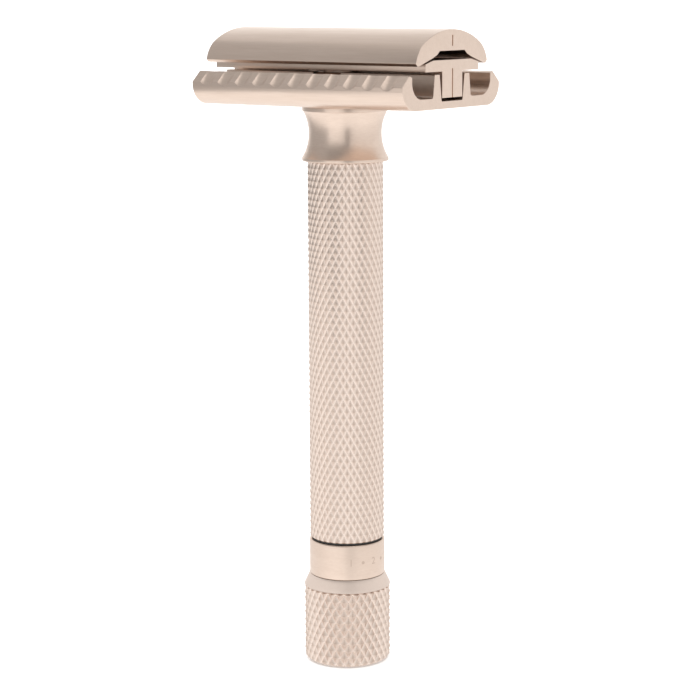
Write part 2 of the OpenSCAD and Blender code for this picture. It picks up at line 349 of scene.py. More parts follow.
def turned_piece(name: str, profile: Sequence[Point], crown: float, edge: float = 0.1, columns: int = 160,
                 solid: bool = False) -> bpy.types.Object:
    """Turns a profile about the handle's axis.

    Args:
        name: Name of the piece.
        profile: (radius, height from the crown) in order.
        crown: Height of the crown.
        edge: Radius that rounds the profile's corners.
        columns: Faces round the piece.
        solid: Whether the profile starts and ends on the axis; otherwise it is a closed ring.

    Returns:
        The piece.
    """
    soft = softened(profile, edge, closed=not solid)
    hoops = [Hoop(r, crown + z) for r, z in soft]
    return make_object(name, turned_mesh(name, hoops, columns, ring=not solid))


def rod(name: str, centre: Point, radius: float, bottom: float, top: float) -> bpy.types.Object:
    """A plain upright rod, used to cut holes."""
    hoops = [Hoop(0, top), Hoop(radius, top), Hoop(radius, bottom), Hoop(0, bottom)]
    mesh = turned_mesh(name, hoops, 96)
    mesh.transform(Matrix.Translation(Vector((*centre, 0)) * MM))
    return make_object(name, mesh)


def block(name: str, lo: Sequence[float], hi: Sequence[float]) -> bpy.types.Object:
    """A plain block between two corners, used to cut grooves and slots."""
    points = [(x, y, z) for x in (lo[0], hi[0]) for y in (lo[1], hi[1]) for z in (lo[2], hi[2])]
    faces = [(0, 1, 3, 2), (4, 6, 7, 5), (0, 4, 5, 1), (2, 3, 7, 6), (0, 2, 6, 4), (1, 5, 7, 3)]
    return make_object(name, make_mesh(name, points, faces))


def end_mark(place: Place, low: float, high: float) -> bpy.types.Object:
    """Cuts the fine upright line on a bar's +X end, between two heights."""
    width, depth = 0.3, 0.2
    return block("mark", (place.hi.x - depth, -width / 2, low), (place.hi.x + 1, width / 2, high))


def bar_stations(lo: float, hi: float, edge: float, steps: int = 3) -> list[tuple[float, float]]:
    """Where the sections of a bar with rounded ends lie.

    Args:
        lo: Low end along X.
        hi: High end along X.
        edge: Radius that rounds the ends.
        steps: Spans in the rounding.

    Returns:
        (place along X, inset of the section there) from end to end.
    """
    quarter = [math.pi / 2 * i / steps for i in range(steps + 1)]
    near = [(lo + edge * (1 - math.cos(t)), edge * (1 - math.sin(t))) for t in quarter]
    return near + [(lo + hi - x, depth) for x, depth in reversed(near)]


def bar_mesh(name: str, outline: Sequence[Point], stations: Sequence[tuple[float, float]],
             crown: float) -> bpy.types.Mesh:
    """Sweeps a section along X into a closed bar.

    Args:
        name: Name of the mesh.
        outline: (y, height from the crown), counter-clockwise.
        stations: (place along X, inset of the section there).
        crown: Height of the crown.

    Returns:
        The mesh; its corners run station by station, in the outline's order.
    """
    count = len(outline)
    points = [(x, y, crown + z) for x, depth in stations
              for y, z in (inset(outline, depth) if depth > 0 else outline)]
    faces: list[tuple[int, ...]] = [tuple(reversed(range(count)))]
    for s in range(len(stations) - 1):
        for i in range(count):
            k = (i + 1) % count
            faces.append((s * count + i, s * count + k, (s + 1) * count + k, (s + 1) * count + i))
    last = (len(stations) - 1) * count
    faces.append(tuple(range(last, last + count)))
    mesh = bpy.data.meshes.new(name)
    mesh.from_pydata([Vector(p) * MM for p in points], [], faces)
    return mesh


# ---- Node trees ----


class Wiring:
    """Adds nodes to a tree and joins them."""

    def __init__(self, tree: bpy.types.NodeTree) -> None:
        """Keeps the tree to work on."""
        self.tree = tree

    @classmethod
    def blank(cls, owner: Union[bpy.types.Material, bpy.types.World]) -> "Wiring":
        """Gives a material or a world an empty tree."""
        owner.use_nodes = True
        owner.node_tree.nodes.clear()
        return cls(owner.node_tree)

    @classmethod
    def group(cls, name: str, sockets: Iterable[tuple[str, str, Sequence[str]]]) -> "Wiring":
        """Starts a shader node group.

        Args:
            name: Name of the group.
            sockets: (INPUT or OUTPUT, kind of value, names) for each run of sockets.

        Returns:
            The group's tree, ready for nodes.
        """
        tree = bpy.data.node_groups.new(name, "ShaderNodeTree")
        for way, kind, labels in sockets:
            for label in labels:
                tree.interface.new_socket(label, in_out=way, socket_type=f"NodeSocket{kind}")
        return cls(tree)

    def feed(self, socket: bpy.types.NodeSocket, value: Feed) -> None:
        """Links a socket to another one, or sets its own value."""
        if isinstance(value, bpy.types.NodeSocket):
            self.tree.links.new(value, socket)
        else:
            socket.default_value = value

    def add(self, kind: str, feeds: Optional[dict] = None, **settings: object) -> bpy.types.Node:
        """Adds a node.

        Args:
            kind: Blender's name for the node.
            feeds: Values or sockets by input name or number.
            **settings: Properties of the node.

        Returns:
            The node.
        """
        node = self.tree.nodes.new(kind)
        for key, value in settings.items():
            setattr(node, key, value)
        for key, value in (feeds or {}).items():
            self.feed(node.inputs[key], value)
        return node

    def math(self, operation: str, *values: Feed) -> bpy.types.NodeSocket:
        """Adds a Math node and returns its result."""
        return self.add("ShaderNodeMath", dict(enumerate(values)), operation=operation).outputs[0]

    def blend(self, factor: Feed, a: Feed, b: Feed) -> bpy.types.NodeSocket:
        """Mixes two colours and returns the result."""
        node = self.add("ShaderNodeMix", data_type="RGBA")
        for name, value in (("Factor_Float", factor), ("A_Color", a), ("B_Color", b)):
            socket = next(s for s in node.inputs if s.identifier == name)
            if isinstance(value, tuple):
                value = (*value[:3], 1.0)
            self.feed(socket, value)
        return next(s for s in node.outputs if s.identifier == "Result_Color")


class ShapeTree:
    """A Geometry Nodes tree that takes a mesh, a material and named numbers, and gives back a mesh."""

    def __init__(self, name: str, numbers: Sequence[str]) -> None:
        """Starts the tree with its inputs.

        Args:
            name: Name of the tree.
            numbers: Names of its number inputs.
        """
        self.tree = bpy.data.node_groups.new(name, "GeometryNodeTree")
        kinds = {"Geometry": "NodeSocketGeometry", "Material": "NodeSocketMaterial"}
        kinds.update({number: "NodeSocketFloat" for number in numbers})
        for label, kind in kinds.items():
            self.tree.interface.new_socket(label, in_out="INPUT", socket_type=kind)
        self.tree.interface.new_socket("Geometry", in_out="OUTPUT", socket_type="NodeSocketGeometry")
        self.wires = Wiring(self.tree)
        self.given = self.wires.add("NodeGroupInput").outputs

    def finish(self, geometry: bpy.types.NodeSocket) -> None:
        """Ends the tree with real geometry in the given material."""
        real = self.wires.add("GeometryNodeRealizeInstances", {"Geometry": geometry})
        dressed = self.wires.add("GeometryNodeSetMaterial", {
            "Geometry": real.outputs["Geometry"], "Material": self.given["Material"]})
        self.wires.add("NodeGroupOutput", {"Geometry": dressed.outputs["Geometry"]})

    def shape(self, piece: bpy.types.Object, material: bpy.types.Material, **numbers: float) -> bpy.types.Object:
        """Runs the tree on a piece.

        Args:
            piece: The base mesh.
            material: The finish of the result.
            **numbers: Values of the tree's inputs, with underscores for the spaces in their names.

        Returns:
            The piece, as a plain mesh.
        """
        step = piece.modifiers.new(self.tree.name, "NODES")
        step.node_group = self.tree
        sockets = {item.name: item.identifier for item in self.tree.interface.items_tree
                   if item.in_out == "INPUT"}
        step[sockets["Material"]] = material
        for name, value in numbers.items():
            step[sockets[name.replace("_", " ").title()]] = float(value)
        return settle(piece)


class GrooveTree(ShapeTree):
    """Cuts helical grooves into a turned mesh and notes how deep each corner lies.

    Beyond the grooved length, each corner is given the plain note instead.
    """

    # The note follows the real cut, but the finishes use it to place painted light, and the cap also writes it
    # to paint shade into its cavity.
    ATTRIBUTE = "groove"

    def __init__(self) -> None:
        """Builds the tree."""
        super().__init__("helical_grooves", (
            "Starts", "Axial Pitch", "Depth", "Half Width", "Crossed", "Crest Radius", "Top", "Bottom",
            "Plain Note"))
        wires, given = self.wires, self.given
        place = wires.add("GeometryNodeInputPosition").outputs[0]
        axes = wires.add("ShaderNodeSeparateXYZ", {0: place}).outputs
        angle = wires.math("ARCTAN2", axes[1], axes[0])
        round_share = wires.math("MULTIPLY", wires.math("DIVIDE", angle, TURN), given["Starts"])
        rise_share = wires.math("DIVIDE", wires.math("SUBTRACT", axes[2], given["Top"]), given["Axial Pitch"])
        right = self.depth_share(wires.math("ADD", round_share, rise_share))
        left = self.depth_share(wires.math("SUBTRACT", round_share, rise_share))
        either = wires.math("MAXIMUM", right, wires.math("MULTIPLY", left, given["Crossed"]))
        slack = 1e-6
        below_top = wires.math("LESS_THAN", axes[2], wires.math("ADD", given["Top"], slack))
        above_bottom = wires.math("GREATER_THAN", axes[2], wires.math("SUBTRACT", given["Bottom"], slack))
        inside = wires.math("MULTIPLY", below_top, above_bottom)
        share = wires.math("MULTIPLY", either, inside)
        plan = wires.add("ShaderNodeCombineXYZ", {0: axes[0], 1: axes[1]}).outputs[0]
        radius = wires.add("ShaderNodeVectorMath", {0: plan}, operation="LENGTH").outputs["Value"]
        limit = wires.math("SUBTRACT", given["Crest Radius"], wires.math("MULTIPLY", share, given["Depth"]))
        cut = wires.math("MINIMUM", radius, limit)
        ratio = wires.math("DIVIDE", cut, wires.math("MAXIMUM", radius, slack))
        pulled = wires.add("ShaderNodeVectorMath", {0: plan, "Scale": ratio}, operation="SCALE").outputs[0]
        height = wires.add("ShaderNodeCombineXYZ", {2: axes[2]}).outputs[0]
        moved = wires.add("ShaderNodeVectorMath", {0: pulled, 1: height}, operation="ADD").outputs[0]
        grooved = wires.math("MULTIPLY", share, wires.math("GREATER_THAN", radius, limit))
        plain = wires.math("MULTIPLY", wires.math("SUBTRACT", 1.0, inside), given["Plain Note"])
        noted = wires.add("GeometryNodeStoreNamedAttribute", {
            "Geometry": given["Geometry"], "Name": self.ATTRIBUTE, "Value": wires.math("ADD", grooved, plain)},
            data_type="FLOAT", domain="POINT")
        placed = wires.add("GeometryNodeSetPosition", {"Geometry": noted.outputs[0], "Position": moved})
        self.finish(placed.outputs[0])

    def depth_share(self, phase: bpy.types.NodeSocket) -> bpy.types.NodeSocket:
        """How deep a groove is at a phase: 1 in its middle and 0 beyond its half width."""
        off = self.wires.math("ABSOLUTE", self.wires.math("SUBTRACT", phase, self.wires.math("ROUND", phase)))
        ramp = self.wires.math("SUBTRACT", 1.0, self.wires.math("DIVIDE", off, self.given["Half Width"]))
        return self.wires.math("MAXIMUM", ramp, 0.0)


class ScallopTree(ShapeTree):
    """Slides the edge of a bar inwards where a row of round cutters would cut it."""

    ATTRIBUTE = "slide"

    def __init__(self) -> None:
        """Builds the tree."""
        super().__init__("scalloped_bar", ("Count", "Pitch", "Cutter Radius", "Depth", "Rim Softness"))
        wires, given = self.wires, self.given
        place = wires.add("GeometryNodeInputPosition").outputs[0]
        along = wires.add("ShaderNodeSeparateXYZ", {0: place}).outputs[0]
        middle = wires.math("DIVIDE", wires.math("SUBTRACT", given["Count"], 1.0), 2.0)
        number = wires.math("ROUND", wires.math("ADD", wires.math("DIVIDE", along, given["Pitch"]), middle))
        last = wires.math("SUBTRACT", given["Count"], 1.0)
        nearest = wires.math("SUBTRACT", wires.math("MINIMUM", wires.math("MAXIMUM", number, 0.0), last), middle)
        off = wires.math("SUBTRACT", along, wires.math("MULTIPLY", nearest, given["Pitch"]))
        inside = wires.math("SUBTRACT", wires.math("POWER", given["Cutter Radius"], 2.0),
                            wires.math("MULTIPLY", off, off))
        reach = wires.math("SQRT", wires.math("MAXIMUM", inside, 0.0))
        cut = wires.math("SUBTRACT", reach, wires.math("SUBTRACT", given["Cutter Radius"], given["Depth"]))
        depth = wires.math("SMOOTH_MAX", cut, 0.0, given["Rim Softness"])
        slide = wires.add("GeometryNodeInputNamedAttribute", {"Name": self.ATTRIBUTE},
                          data_type="FLOAT_VECTOR").outputs["Attribute"]
        shift = wires.add("ShaderNodeVectorMath", {0: slide, "Scale": depth}, operation="SCALE").outputs[0]
        placed = wires.add("GeometryNodeSetPosition", {"Geometry": given["Geometry"], "Offset": shift})
        self.finish(placed.outputs[0])


class RingMarksTree(ShapeTree):
    """Repeats a small mark round the handle's axis."""

    def __init__(self) -> None:
        """Builds the tree."""
        super().__init__("ring_marks", ("Count", "First Angle", "Step Angle", "Radius", "Height"))
        wires, given = self.wires, self.given
        index = wires.add("GeometryNodeInputIndex").outputs[0]
        angle = wires.math("ADD", given["First Angle"], wires.math("MULTIPLY", index, given["Step Angle"]))
        spot = wires.add("ShaderNodeCombineXYZ", {
            0: wires.math("MULTIPLY", given["Radius"], wires.math("COSINE", angle)),
            1: wires.math("MULTIPLY", given["Radius"], wires.math("SINE", angle)),
            2: given["Height"]}).outputs[0]
        points = wires.add("GeometryNodePoints", {"Count": given["Count"], "Position": spot}).outputs[0]
        turned = wires.add("ShaderNodeCombineXYZ", {2: angle}).outputs[0]
        copies = wires.add("GeometryNodeInstanceOnPoints", {
            "Points": points, "Instance": given["Geometry"], "Rotation": turned})
        self.finish(copies.outputs[0])


# ---- Finishes ----


class Grain(Enum):
    """How the grain of a finish lies: the value stretches the pattern along X, Y and Z."""

    LENGTHWISE = (0.05, 1.0, 1.0)
    TURNED = (0.22, 0.22, 1.0)
    BLASTED = (1.0, 1.0, 1.0)


def grain_group() -> bpy.types.ShaderNodeTree:
    """The fine grain and the slow mottle that every finish here shows."""
    name = "metal_grain"
    if name in bpy.data.node_groups:
        return bpy.data.node_groups[name]
    wires = Wiring.group(name, (
        ("INPUT", "Vector", ("Vector",)), ("INPUT", "Float", ("Grain Scale", "Mottle Scale")),
        ("OUTPUT", "Float", ("Grain", "Mottle", "Height"))))
    given = wires.add("NodeGroupInput").outputs
    fine = wires.add("ShaderNodeTexNoise", {
        "Vector": given["Vector"], "Scale": given["Grain Scale"], "Detail": 3.0, "Roughness": 0.6}).outputs[0]
    coarse = wires.add("ShaderNodeTexNoise", {
        "Vector": given["Vector"], "Scale": wires.math("MULTIPLY", given["Grain Scale"], 0.23),
        "Detail": 2.0, "Roughness": 0.55}).outputs[0]
    slow = wires.add("ShaderNodeTexNoise", {
        "Vector": given["Vector"], "Scale": given["Mottle Scale"], "Detail": 2.0, "Roughness": 0.5}).outputs[0]
    both = wires.math("ADD", wires.math("MULTIPLY", fine, 0.6), wires.math("MULTIPLY", coarse, 0.4))
    grain = wires.add("ShaderNodeMapRange", {"Value": both, "From Min": 0.36, "From Max": 0.64}).outputs[0]
    mottle = wires.add("ShaderNodeMapRange", {"Value": slow, "From Min": 0.32, "From Max": 0.68}).outputs[0]
    wires.add("NodeGroupOutput", {"Grain": grain, "Mottle": mottle, "Height": both})
    return wires.tree


def tone_group() -> bpy.types.ShaderNodeTree:
    """Turns grain, mottle and the groove note into the colour and roughness of a metal; the groove note mixes in
    painted light, painted shade in the cap's cavity and a painted highlight along knurl grooves.
    """
    name = "metal_tone"
    if name in bpy.data.node_groups:
        return bpy.data.node_groups[name]
    numbers = ("Grain", "Grain Share", "Mottle", "Mottle Share", "Groove", "Groove Share", "Roughness",
               "Roughness Spread")
    wires = Wiring.group(name, (("INPUT", "Color", ("Tone", "Shade", "Hollow")), ("INPUT", "Float", numbers),
                                ("OUTPUT", "Color", ("Color",)), ("OUTPUT", "Float", ("Roughness",))))
    given = wires.add("NodeGroupInput").outputs
    grained = wires.blend(wires.math("MULTIPLY", given["Grain"], given["Grain Share"]),
                          given["Tone"], given["Shade"])
    mottled = wires.blend(wires.math("MULTIPLY", given["Mottle"], given["Mottle Share"]),
                          grained, given["Shade"])
    # Painted light: the groove note mixes in the painted light colour, shade in the cap's cavity and a highlight
    # in knurl grooves.
    hollow = wires.math("MULTIPLY", wires.math("POWER", given["Groove"], 1.5), given["Groove Share"])
    colour = wires.blend(hollow, mottled, given["Hollow"])
    swing = wires.math("MULTIPLY", wires.math("SUBTRACT", given["Grain"], 0.5), given["Roughness Spread"])
    rough = wires.math("ADD", given["Roughness"], wires.math("ADD", swing, wires.math("MULTIPLY", hollow, 0.15)))
    wires.add("NodeGroupOutput", {"Color": colour, "Roughness": rough})
    return wires.tree


@dataclass(frozen=True)
class Finish:
    """A metal or plastic finish with its grain.

    Attributes:
        name: Name of the material.
        tone: Colour of the open surface.
        shade: Colour in the troughs of the grain and in the mottle.
        hollow: Painted light colour that a groove note mixes in: a near-white painted highlight in a knurl's
            grooves, a near-black painted shade in the cap's cavity.
        roughness: Middle roughness.
        grain: Direction of the grain.
        grain_pitch: Size of the grain, in millimetres.
        grain_share: How much of the shade the grain takes.
        relief: Height of the grain, in millimetres.
        mottle_share: How much of the shade the mottle takes.
        painted_light_share: How much of the painted light colour (hollow) a full groove note takes.
        metallic: 1 for metal and 0 for plastic.
    """

    name: str
    tone: Colour
    shade: Colour
    # Painted light colour, mixed in where the groove note is set.
    hollow: Colour = (0.10, 0.07, 0.05)
    roughness: float = 0.34
    grain: Grain = Grain.BLASTED
    grain_pitch: float = 0.16
    grain_share: float = 0.35
    relief: float = 0.004
    mottle_share: float = 0.15
    painted_light_share: float = 0.0
    metallic: float = 1.0

    def material(self) -> bpy.types.Material:
        """The material, made once."""
        if self.name in bpy.data.materials:
            return bpy.data.materials[self.name]
        material = bpy.data.materials.new(self.name)
        wires = Wiring.blank(material)
        place = wires.add("ShaderNodeTexCoord").outputs["Object"]
        stretched = wires.add("ShaderNodeMapping", {"Vector": place, "Scale": self.grain.value}).outputs[0]
        grain = wires.add("ShaderNodeGroup", node_tree=grain_group())
        for name, value in (("Vector", stretched), ("Grain Scale", 1 / (self.grain_pitch * MM)),
                            ("Mottle Scale", 1 / (7.0 * MM))):
            wires.feed(grain.inputs[name], value)
        # The groove note places painted light: painted shade in the cap's cavity, a painted highlight along
        # knurl grooves.
        groove = wires.add("ShaderNodeAttribute", attribute_name=GrooveTree.ATTRIBUTE).outputs["Fac"]
        tone = wires.add("ShaderNodeGroup", node_tree=tone_group())
        for name, value in (
                ("Tone", (*self.tone, 1.0)), ("Shade", (*self.shade, 1.0)), ("Hollow", (*self.hollow, 1.0)),
                ("Grain", grain.outputs["Grain"]), ("Grain Share", self.grain_share),
                ("Mottle", grain.outputs["Mottle"]), ("Mottle Share", self.mottle_share),
                ("Groove", groove), ("Groove Share", self.painted_light_share),
                ("Roughness", self.roughness), ("Roughness Spread", 0.08)):
            wires.feed(tone.inputs[name], value)
        bump = wires.add("ShaderNodeBump", {
            "Height": grain.outputs["Height"], "Distance": self.relief * MM, "Strength": 1.0})
        shader = wires.add("ShaderNodeBsdfPrincipled", {
            "Base Color": tone.outputs["Color"], "Roughness": tone.outputs["Roughness"],
            "Metallic": self.metallic, "Normal": bump.outputs[0]})
        wires.add("ShaderNodeOutputMaterial", {"Surface": shader.outputs[0]})
        return material


NICKEL: Colour = (0.76, 0.62, 0.53)
NICKEL_SHADE: Colour = (0.62, 0.49, 0.405)

# Its near-black hollow colour is painted shade: it goes where the cap marks its cavity and stands in for the
# shadow inside it.
SATIN_LONG = Finish("satin_nickel_lengthwise", NICKEL, NICKEL_SHADE, grain=Grain.LENGTHWISE, grain_pitch=0.22,
                    hollow=(0.05, 0.035, 0.028), painted_light_share=0.9)
SATIN_TURNED = Finish("satin_nickel_turned", NICKEL, NICKEL_SHADE, grain=Grain.TURNED, grain_pitch=0.2)
# Painted light on the knurl: the tone and shade are darkened to paint shade on the crests, and the hollow colour
# is near white to paint a highlight along the groove bottoms, so the knurl's contrast comes partly from colour.
KNURLED = Finish("satin_nickel_knurled", (0.56, 0.44, 0.37), (0.45, 0.35, 0.29), hollow=(0.86, 0.74, 0.665),
                 roughness=0.30, painted_light_share=1.0)
DIAL_INLAY = Finish("dial_inlay", (0.63, 0.50, 0.42), (0.52, 0.41, 0.34), roughness=0.5, grain_pitch=0.1)
BRASS = Finish("turned_brass", (0.78, 0.57, 0.27), (0.60, 0.42, 0.17), roughness=0.3, grain=Grain.TURNED)
STEEL = Finish("bright_steel", (0.62, 0.61, 0.60), (0.45, 0.44, 0.43), roughness=0.26, grain=Grain.TURNED)
NYLON = Finish("black_nylon_matte", (0.012, 0.011, 0.010), (0.03, 0.028, 0.026), roughness=0.62, metallic=0.0)


# ---- Fitting pieces to the frame ----


@dataclass
class Fitter:
    """Dresses finished pieces and hangs them on their bodies."""

    sharp_angle: float = 28.0
    pieces: list[str] = field(default_factory=list)

    def fit(self, piece: bpy.types.Object, body: Body, nodes: Sequence[str], finish: Finish,
            sharp_angle: Optional[float] = None, toward: Optional[Body] = None) -> bpy.types.Object:
        """Dresses a piece, hides the CAD nodes that it stands for, and lets it ride on its body unless toward is
        given.

        Args:
            piece: The finished mesh.
            body: The body it moves with.
            nodes: CAD nodes that it replaces.
            finish: Its finish.
            sharp_angle: Angle in degrees above which an edge stays sharp.
            toward: Body that its upper end would move with; when it is given, the piece is left in place and
                hung on no body.

        Returns:
            The piece.
        """
        mesh = piece.data
        mesh.materials.clear()
        mesh.materials.append(finish.material())
        mesh.shade_smooth()
        mesh.set_sharp_from_angle(angle=math.radians(self.sharp_angle if sharp_angle is None else sharp_angle))
        if toward is None:
            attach(piece, body.value)
        else:
            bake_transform(piece)
        if nodes:
            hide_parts(*nodes)
        self.pieces.append(piece.name)
        LOG.info("%s rides on %s", piece.name, body.value)
        return piece

    def dress(self, nodes: dict[str, bpy.types.Object], names: Sequence[str], finish: Finish) -> None:
        """Gives CAD nodes that stay as they are a finish.

        Args:
            nodes: The frame's nodes by name.
            names: Which of them to dress.
            finish: Their finish.
        """
        for name in names:
            slots = nodes[name].data.materials
            slots.clear()
            slots.append(finish.material())
            LOG.info("%s keeps its CAD mesh in %s", name, finish.name)


def coil_spring(node: bpy.types.Object) -> bpy.types.Object:
    """A welded copy of the CAD spring."""
    mesh = node.data.copy()
    mesh.transform(node.matrix_world)
    with reshaping(mesh) as shell:
        bmesh.ops.remove_doubles(shell, verts=shell.verts, dist=WELD)
        bmesh.ops.recalc_face_normals(shell, faces=shell.faces)
    return make_object("coil_spring", mesh)


# ---- Head ----


@dataclass
class Cap:
    """The domed cap with its hollow underside, its threaded stud and its two locating pins."""

    crown_radius: float = 15.8
    shoulder_radius: float = 4.8
    lip_inset: float = 0.57
    lip_bevel: float = 0.45
    lip_land: float = 0.35
    cavity: tuple[Point, ...] = ((3.5, -3.33), (4.2, -3.9), (5.4, -4.4))
    edge: float = 0.09
    end_edge: float = 0.08
    mark_span: Point = (-2.6, -0.9)
    thread_radius: float = 2.0
    thread_pitch: float = 0.7
    thread_depth: float = 0.42
    thread_rows_per_pitch: int = 10
    collar_radius: float = 3.0
    collar_height: float = 1.27

    def outline(self, place: Place) -> list[Point]:
        """The cap's section, counter-clockwise, as (y, height from the crown)."""
        half, tall = place.size.y / 2, place.size.z
        shoulder_y = half - self.shoulder_radius
        span = self.crown_radius - self.shoulder_radius
        shoulder_z = math.sqrt(span ** 2 - shoulder_y ** 2) - self.crown_radius
        tangent = math.degrees(math.acos(shoulder_y / span))
        lip = math.degrees(math.asin((self.lip_bevel - tall - shoulder_z) / self.shoulder_radius))
        lip_y = half - self.lip_inset
        side: list[Point] = [*self.cavity, (lip_y - self.lip_land, -tall), (lip_y, -tall)]
        side += arc((shoulder_y, shoulder_z), self.shoulder_radius, lip, tangent, 28)
        crown = arc((0, -self.crown_radius), self.crown_radius, tangent, 180 - tangent, 40)[1:-1]
        return softened([*side, *crown, *mirrored(side)], self.edge)

    def shade_cavity(self, mesh: bpy.types.Mesh, place: Place) -> None:
        """Paints shade into the cavity's roof and walls, except at the cap's very ends, by setting their groove
        note to 1; the lengthwise satin finish turns that into its near-black painted-shade colour.
        """
        depth = mesh.attributes.new(GrooveTree.ATTRIBUTE, "FLOAT", "POINT")
        reach, inner = self.cavity[1][0] + 0.2, place.hi.x - self.end_edge - 0.01
        low = place.hi.z + self.cavity[-1][1]
        for i, corner in enumerate(mesh.vertices):
            x, y, z = corner.co / MM
            # Painted shade: corners inside the cavity get the full note, which darkens them.
            inside = abs(x) < inner and abs(y) < reach and low < z < place.hi.z + self.cavity[0][1] + 0.05
            depth.data[i].value = 1.0 if inside else 0.0

    def build(self, fitter: Fitter) -> None:
        """Makes the cap, the stud and the pins."""
        place = Place.of("cap")
        crown = place.hi.z
        ends = bar_stations(place.lo.x, place.hi.x, self.end_edge)
        half = len(ends) // 2
        stations = [*ends[:half], (ends[half - 1][0] + 0.1, 0.0), (ends[half][0] - 0.1, 0.0), *ends[half:]]
        mesh = bar_mesh("cap_shell", self.outline(place), stations, crown)
        close_up(mesh)
        # Painted shade: the cavity's inside gets a dark colour that stands in for the shadow in it.
        self.shade_cavity(mesh, place)
        shell = make_object("cap_shell", mesh)
        carve(shell, [end_mark(place, crown + self.mark_span[0], crown + self.mark_span[1])])
        fitter.fit(shell, Body.CAP, ["cap"], SATIN_LONG)
        fitter.fit(self.stud(), Body.CAP, ["cap_stud"], STEEL, sharp_angle=40)
        fitter.fit(self.pins(crown), Body.CAP, ["locating_pins"], SATIN_TURNED)

    def stud(self) -> bpy.types.Object:
        """The stud: a collar under the cap's roof and an M4 thread below it."""
        cap, place = Place.of("cap"), Place.of("cap_stud")
        roof = cap.hi.z + self.cavity[0][1]
        collar_foot = roof - self.collar_height
        major = self.thread_radius
        lead = 0.5
        rows = round((collar_foot - place.lo.z) / self.thread_pitch * self.thread_rows_per_pitch)
        heights = [collar_foot + (place.lo.z - collar_foot) * i / rows for i in range(rows + 1)]
        hoops = [Hoop(0, place.hi.z), Hoop(major, place.hi.z), Hoop(major, roof), Hoop(self.collar_radius, roof),
                 Hoop(self.collar_radius, collar_foot + 0.12), Hoop(self.collar_radius - 0.12, collar_foot)]
        hoops += [Hoop(min(major, major - lead + (z - place.lo.z)), z) for z in heights]
        hoops.append(Hoop(0, place.lo.z))
        stud = make_object("threaded_stud", turned_mesh("threaded_stud", hoops, 48))
        return GrooveTree().shape(
            stud, STEEL.material(), starts=1, axial_pitch=self.thread_pitch * MM,
            depth=self.thread_depth * MM, half_width=0.5, crossed=0, crest_radius=major * MM,
            top=(collar_foot - 0.3) * MM, bottom=(place.lo.z + 0.01) * MM)

    def pins(self, crown: float) -> bpy.types.Object:
        """Both locating pins, as one piece."""
        place = Place.of("locating_pins")
        radius = place.hi.y
        centre = place.hi.x - radius
        profile = [(0, place.hi.z - crown), (radius, place.hi.z - crown), (radius, place.lo.z - crown + 0.4),
                   (radius - 0.35, place.lo.z - crown), (0, place.lo.z - crown)]
        pins = []
        for side in (-1, 1):
            pin = turned_piece("locating_pin_pair", profile, crown, 0.12, 48, solid=True)
            pin.data.transform(Matrix.Translation(Vector((side * centre, 0, 0)) * MM))
            pins.append(pin)
        return joined(pins)


def joined(parts: Sequence[bpy.types.Object]) -> bpy.types.Object:
    """Joins objects that all sit at the origin into the first one."""
    with reshaping(parts[0].data) as shell:
        for part in parts[1:]:
            shell.from_mesh(part.data)
    for part in parts[1:]:
        bpy.data.objects.remove(part)
    return parts[0]


@dataclass
class BladePlate:
    """The T-shaped plate under the cap, and the plunger that guides it."""

    flat_width: float = 10.6
    shoulder_drop: float = 0.52
    flange: float = 1.77
    stem_width: float = 5.64
    stem_gap_radius: float = 6.0
    bore_radius: float = 2.82
    pin_hole_radius: float = 1.0
    edge: float = 0.07
    end_edge: float = 0.05
    mark_drop: float = 1.37
    plunger_bore: float = 2.08
    plunger_spigot: float = 2.8
    clip_groove: float = 2.95

    def outline(self, place: Place, crown: float) -> list[Point]:
        """The plate's section, counter-clockwise, as (y, height from the crown)."""
        top, foot = place.hi.z - crown, place.lo.z - crown
        flange_foot = top - self.flange
        right = [(self.stem_width / 2, foot), (self.stem_width / 2, flange_foot), (place.hi.y, flange_foot),
                 (place.hi.y, top - self.shoulder_drop), (self.flat_width / 2, top)]
        return softened([*right, *mirrored(right)], self.edge)

    def build(self, fitter: Fitter) -> None:
        """Makes the plate and its plunger."""
        crown = Place.of("cap").hi.z
        place, pins = Place.of("blade_plate"), Place.of("locating_pins")
        mesh = bar_mesh("blade_plate_body", self.outline(place, crown),
                        bar_stations(place.lo.x, place.hi.x, self.end_edge), crown)
        close_up(mesh)
        plate = make_object("blade_plate_body", mesh)
        low, high = place.lo.z - 1, place.hi.z + 1
        flange_foot = place.hi.z - self.flange
        pin_x = pins.hi.x - pins.hi.y
        cutters = [rod("bore", (0, 0), self.bore_radius, low, high),
                   rod("stem_gap", (0, 0), self.stem_gap_radius, low, flange_foot)]
        cutters += [rod("pin_hole", (side * pin_x, 0), self.pin_hole_radius, low, high) for side in (-1, 1)]
        carve(plate, [*cutters, end_mark(place, low, place.hi.z - self.mark_drop)])
        fitter.fit(plate, Body.PLATE, ["blade_plate"], SATIN_LONG)
        fitter.fit(self.plunger(crown, flange_foot), Body.PLATE, ["plate_plunger"], SATIN_TURNED)

    def plunger(self, crown: float, flange_foot: float) -> bpy.types.Object:
        """The tube under the plate that slides in the neck."""
        place, clip = Place.of("plate_plunger"), Place.of("plunger_clip")
        radius, top, foot = place.radius, place.hi.z - crown, place.lo.z - crown
        groove_top, groove_foot = clip.hi.z - crown + 0.05, clip.lo.z - crown - 0.05
        profile = [(self.plunger_bore, top), (self.plunger_spigot, top),
                   (self.plunger_spigot, flange_foot - crown), (radius, flange_foot - crown),
                   (radius, groove_top), (self.clip_groove, groove_top), (self.clip_groove, groove_foot),
                   (radius, groove_foot), (radius, foot), (self.plunger_bore, foot)]
        return turned_piece("plunger_tube", profile, crown, 0.06, 96)


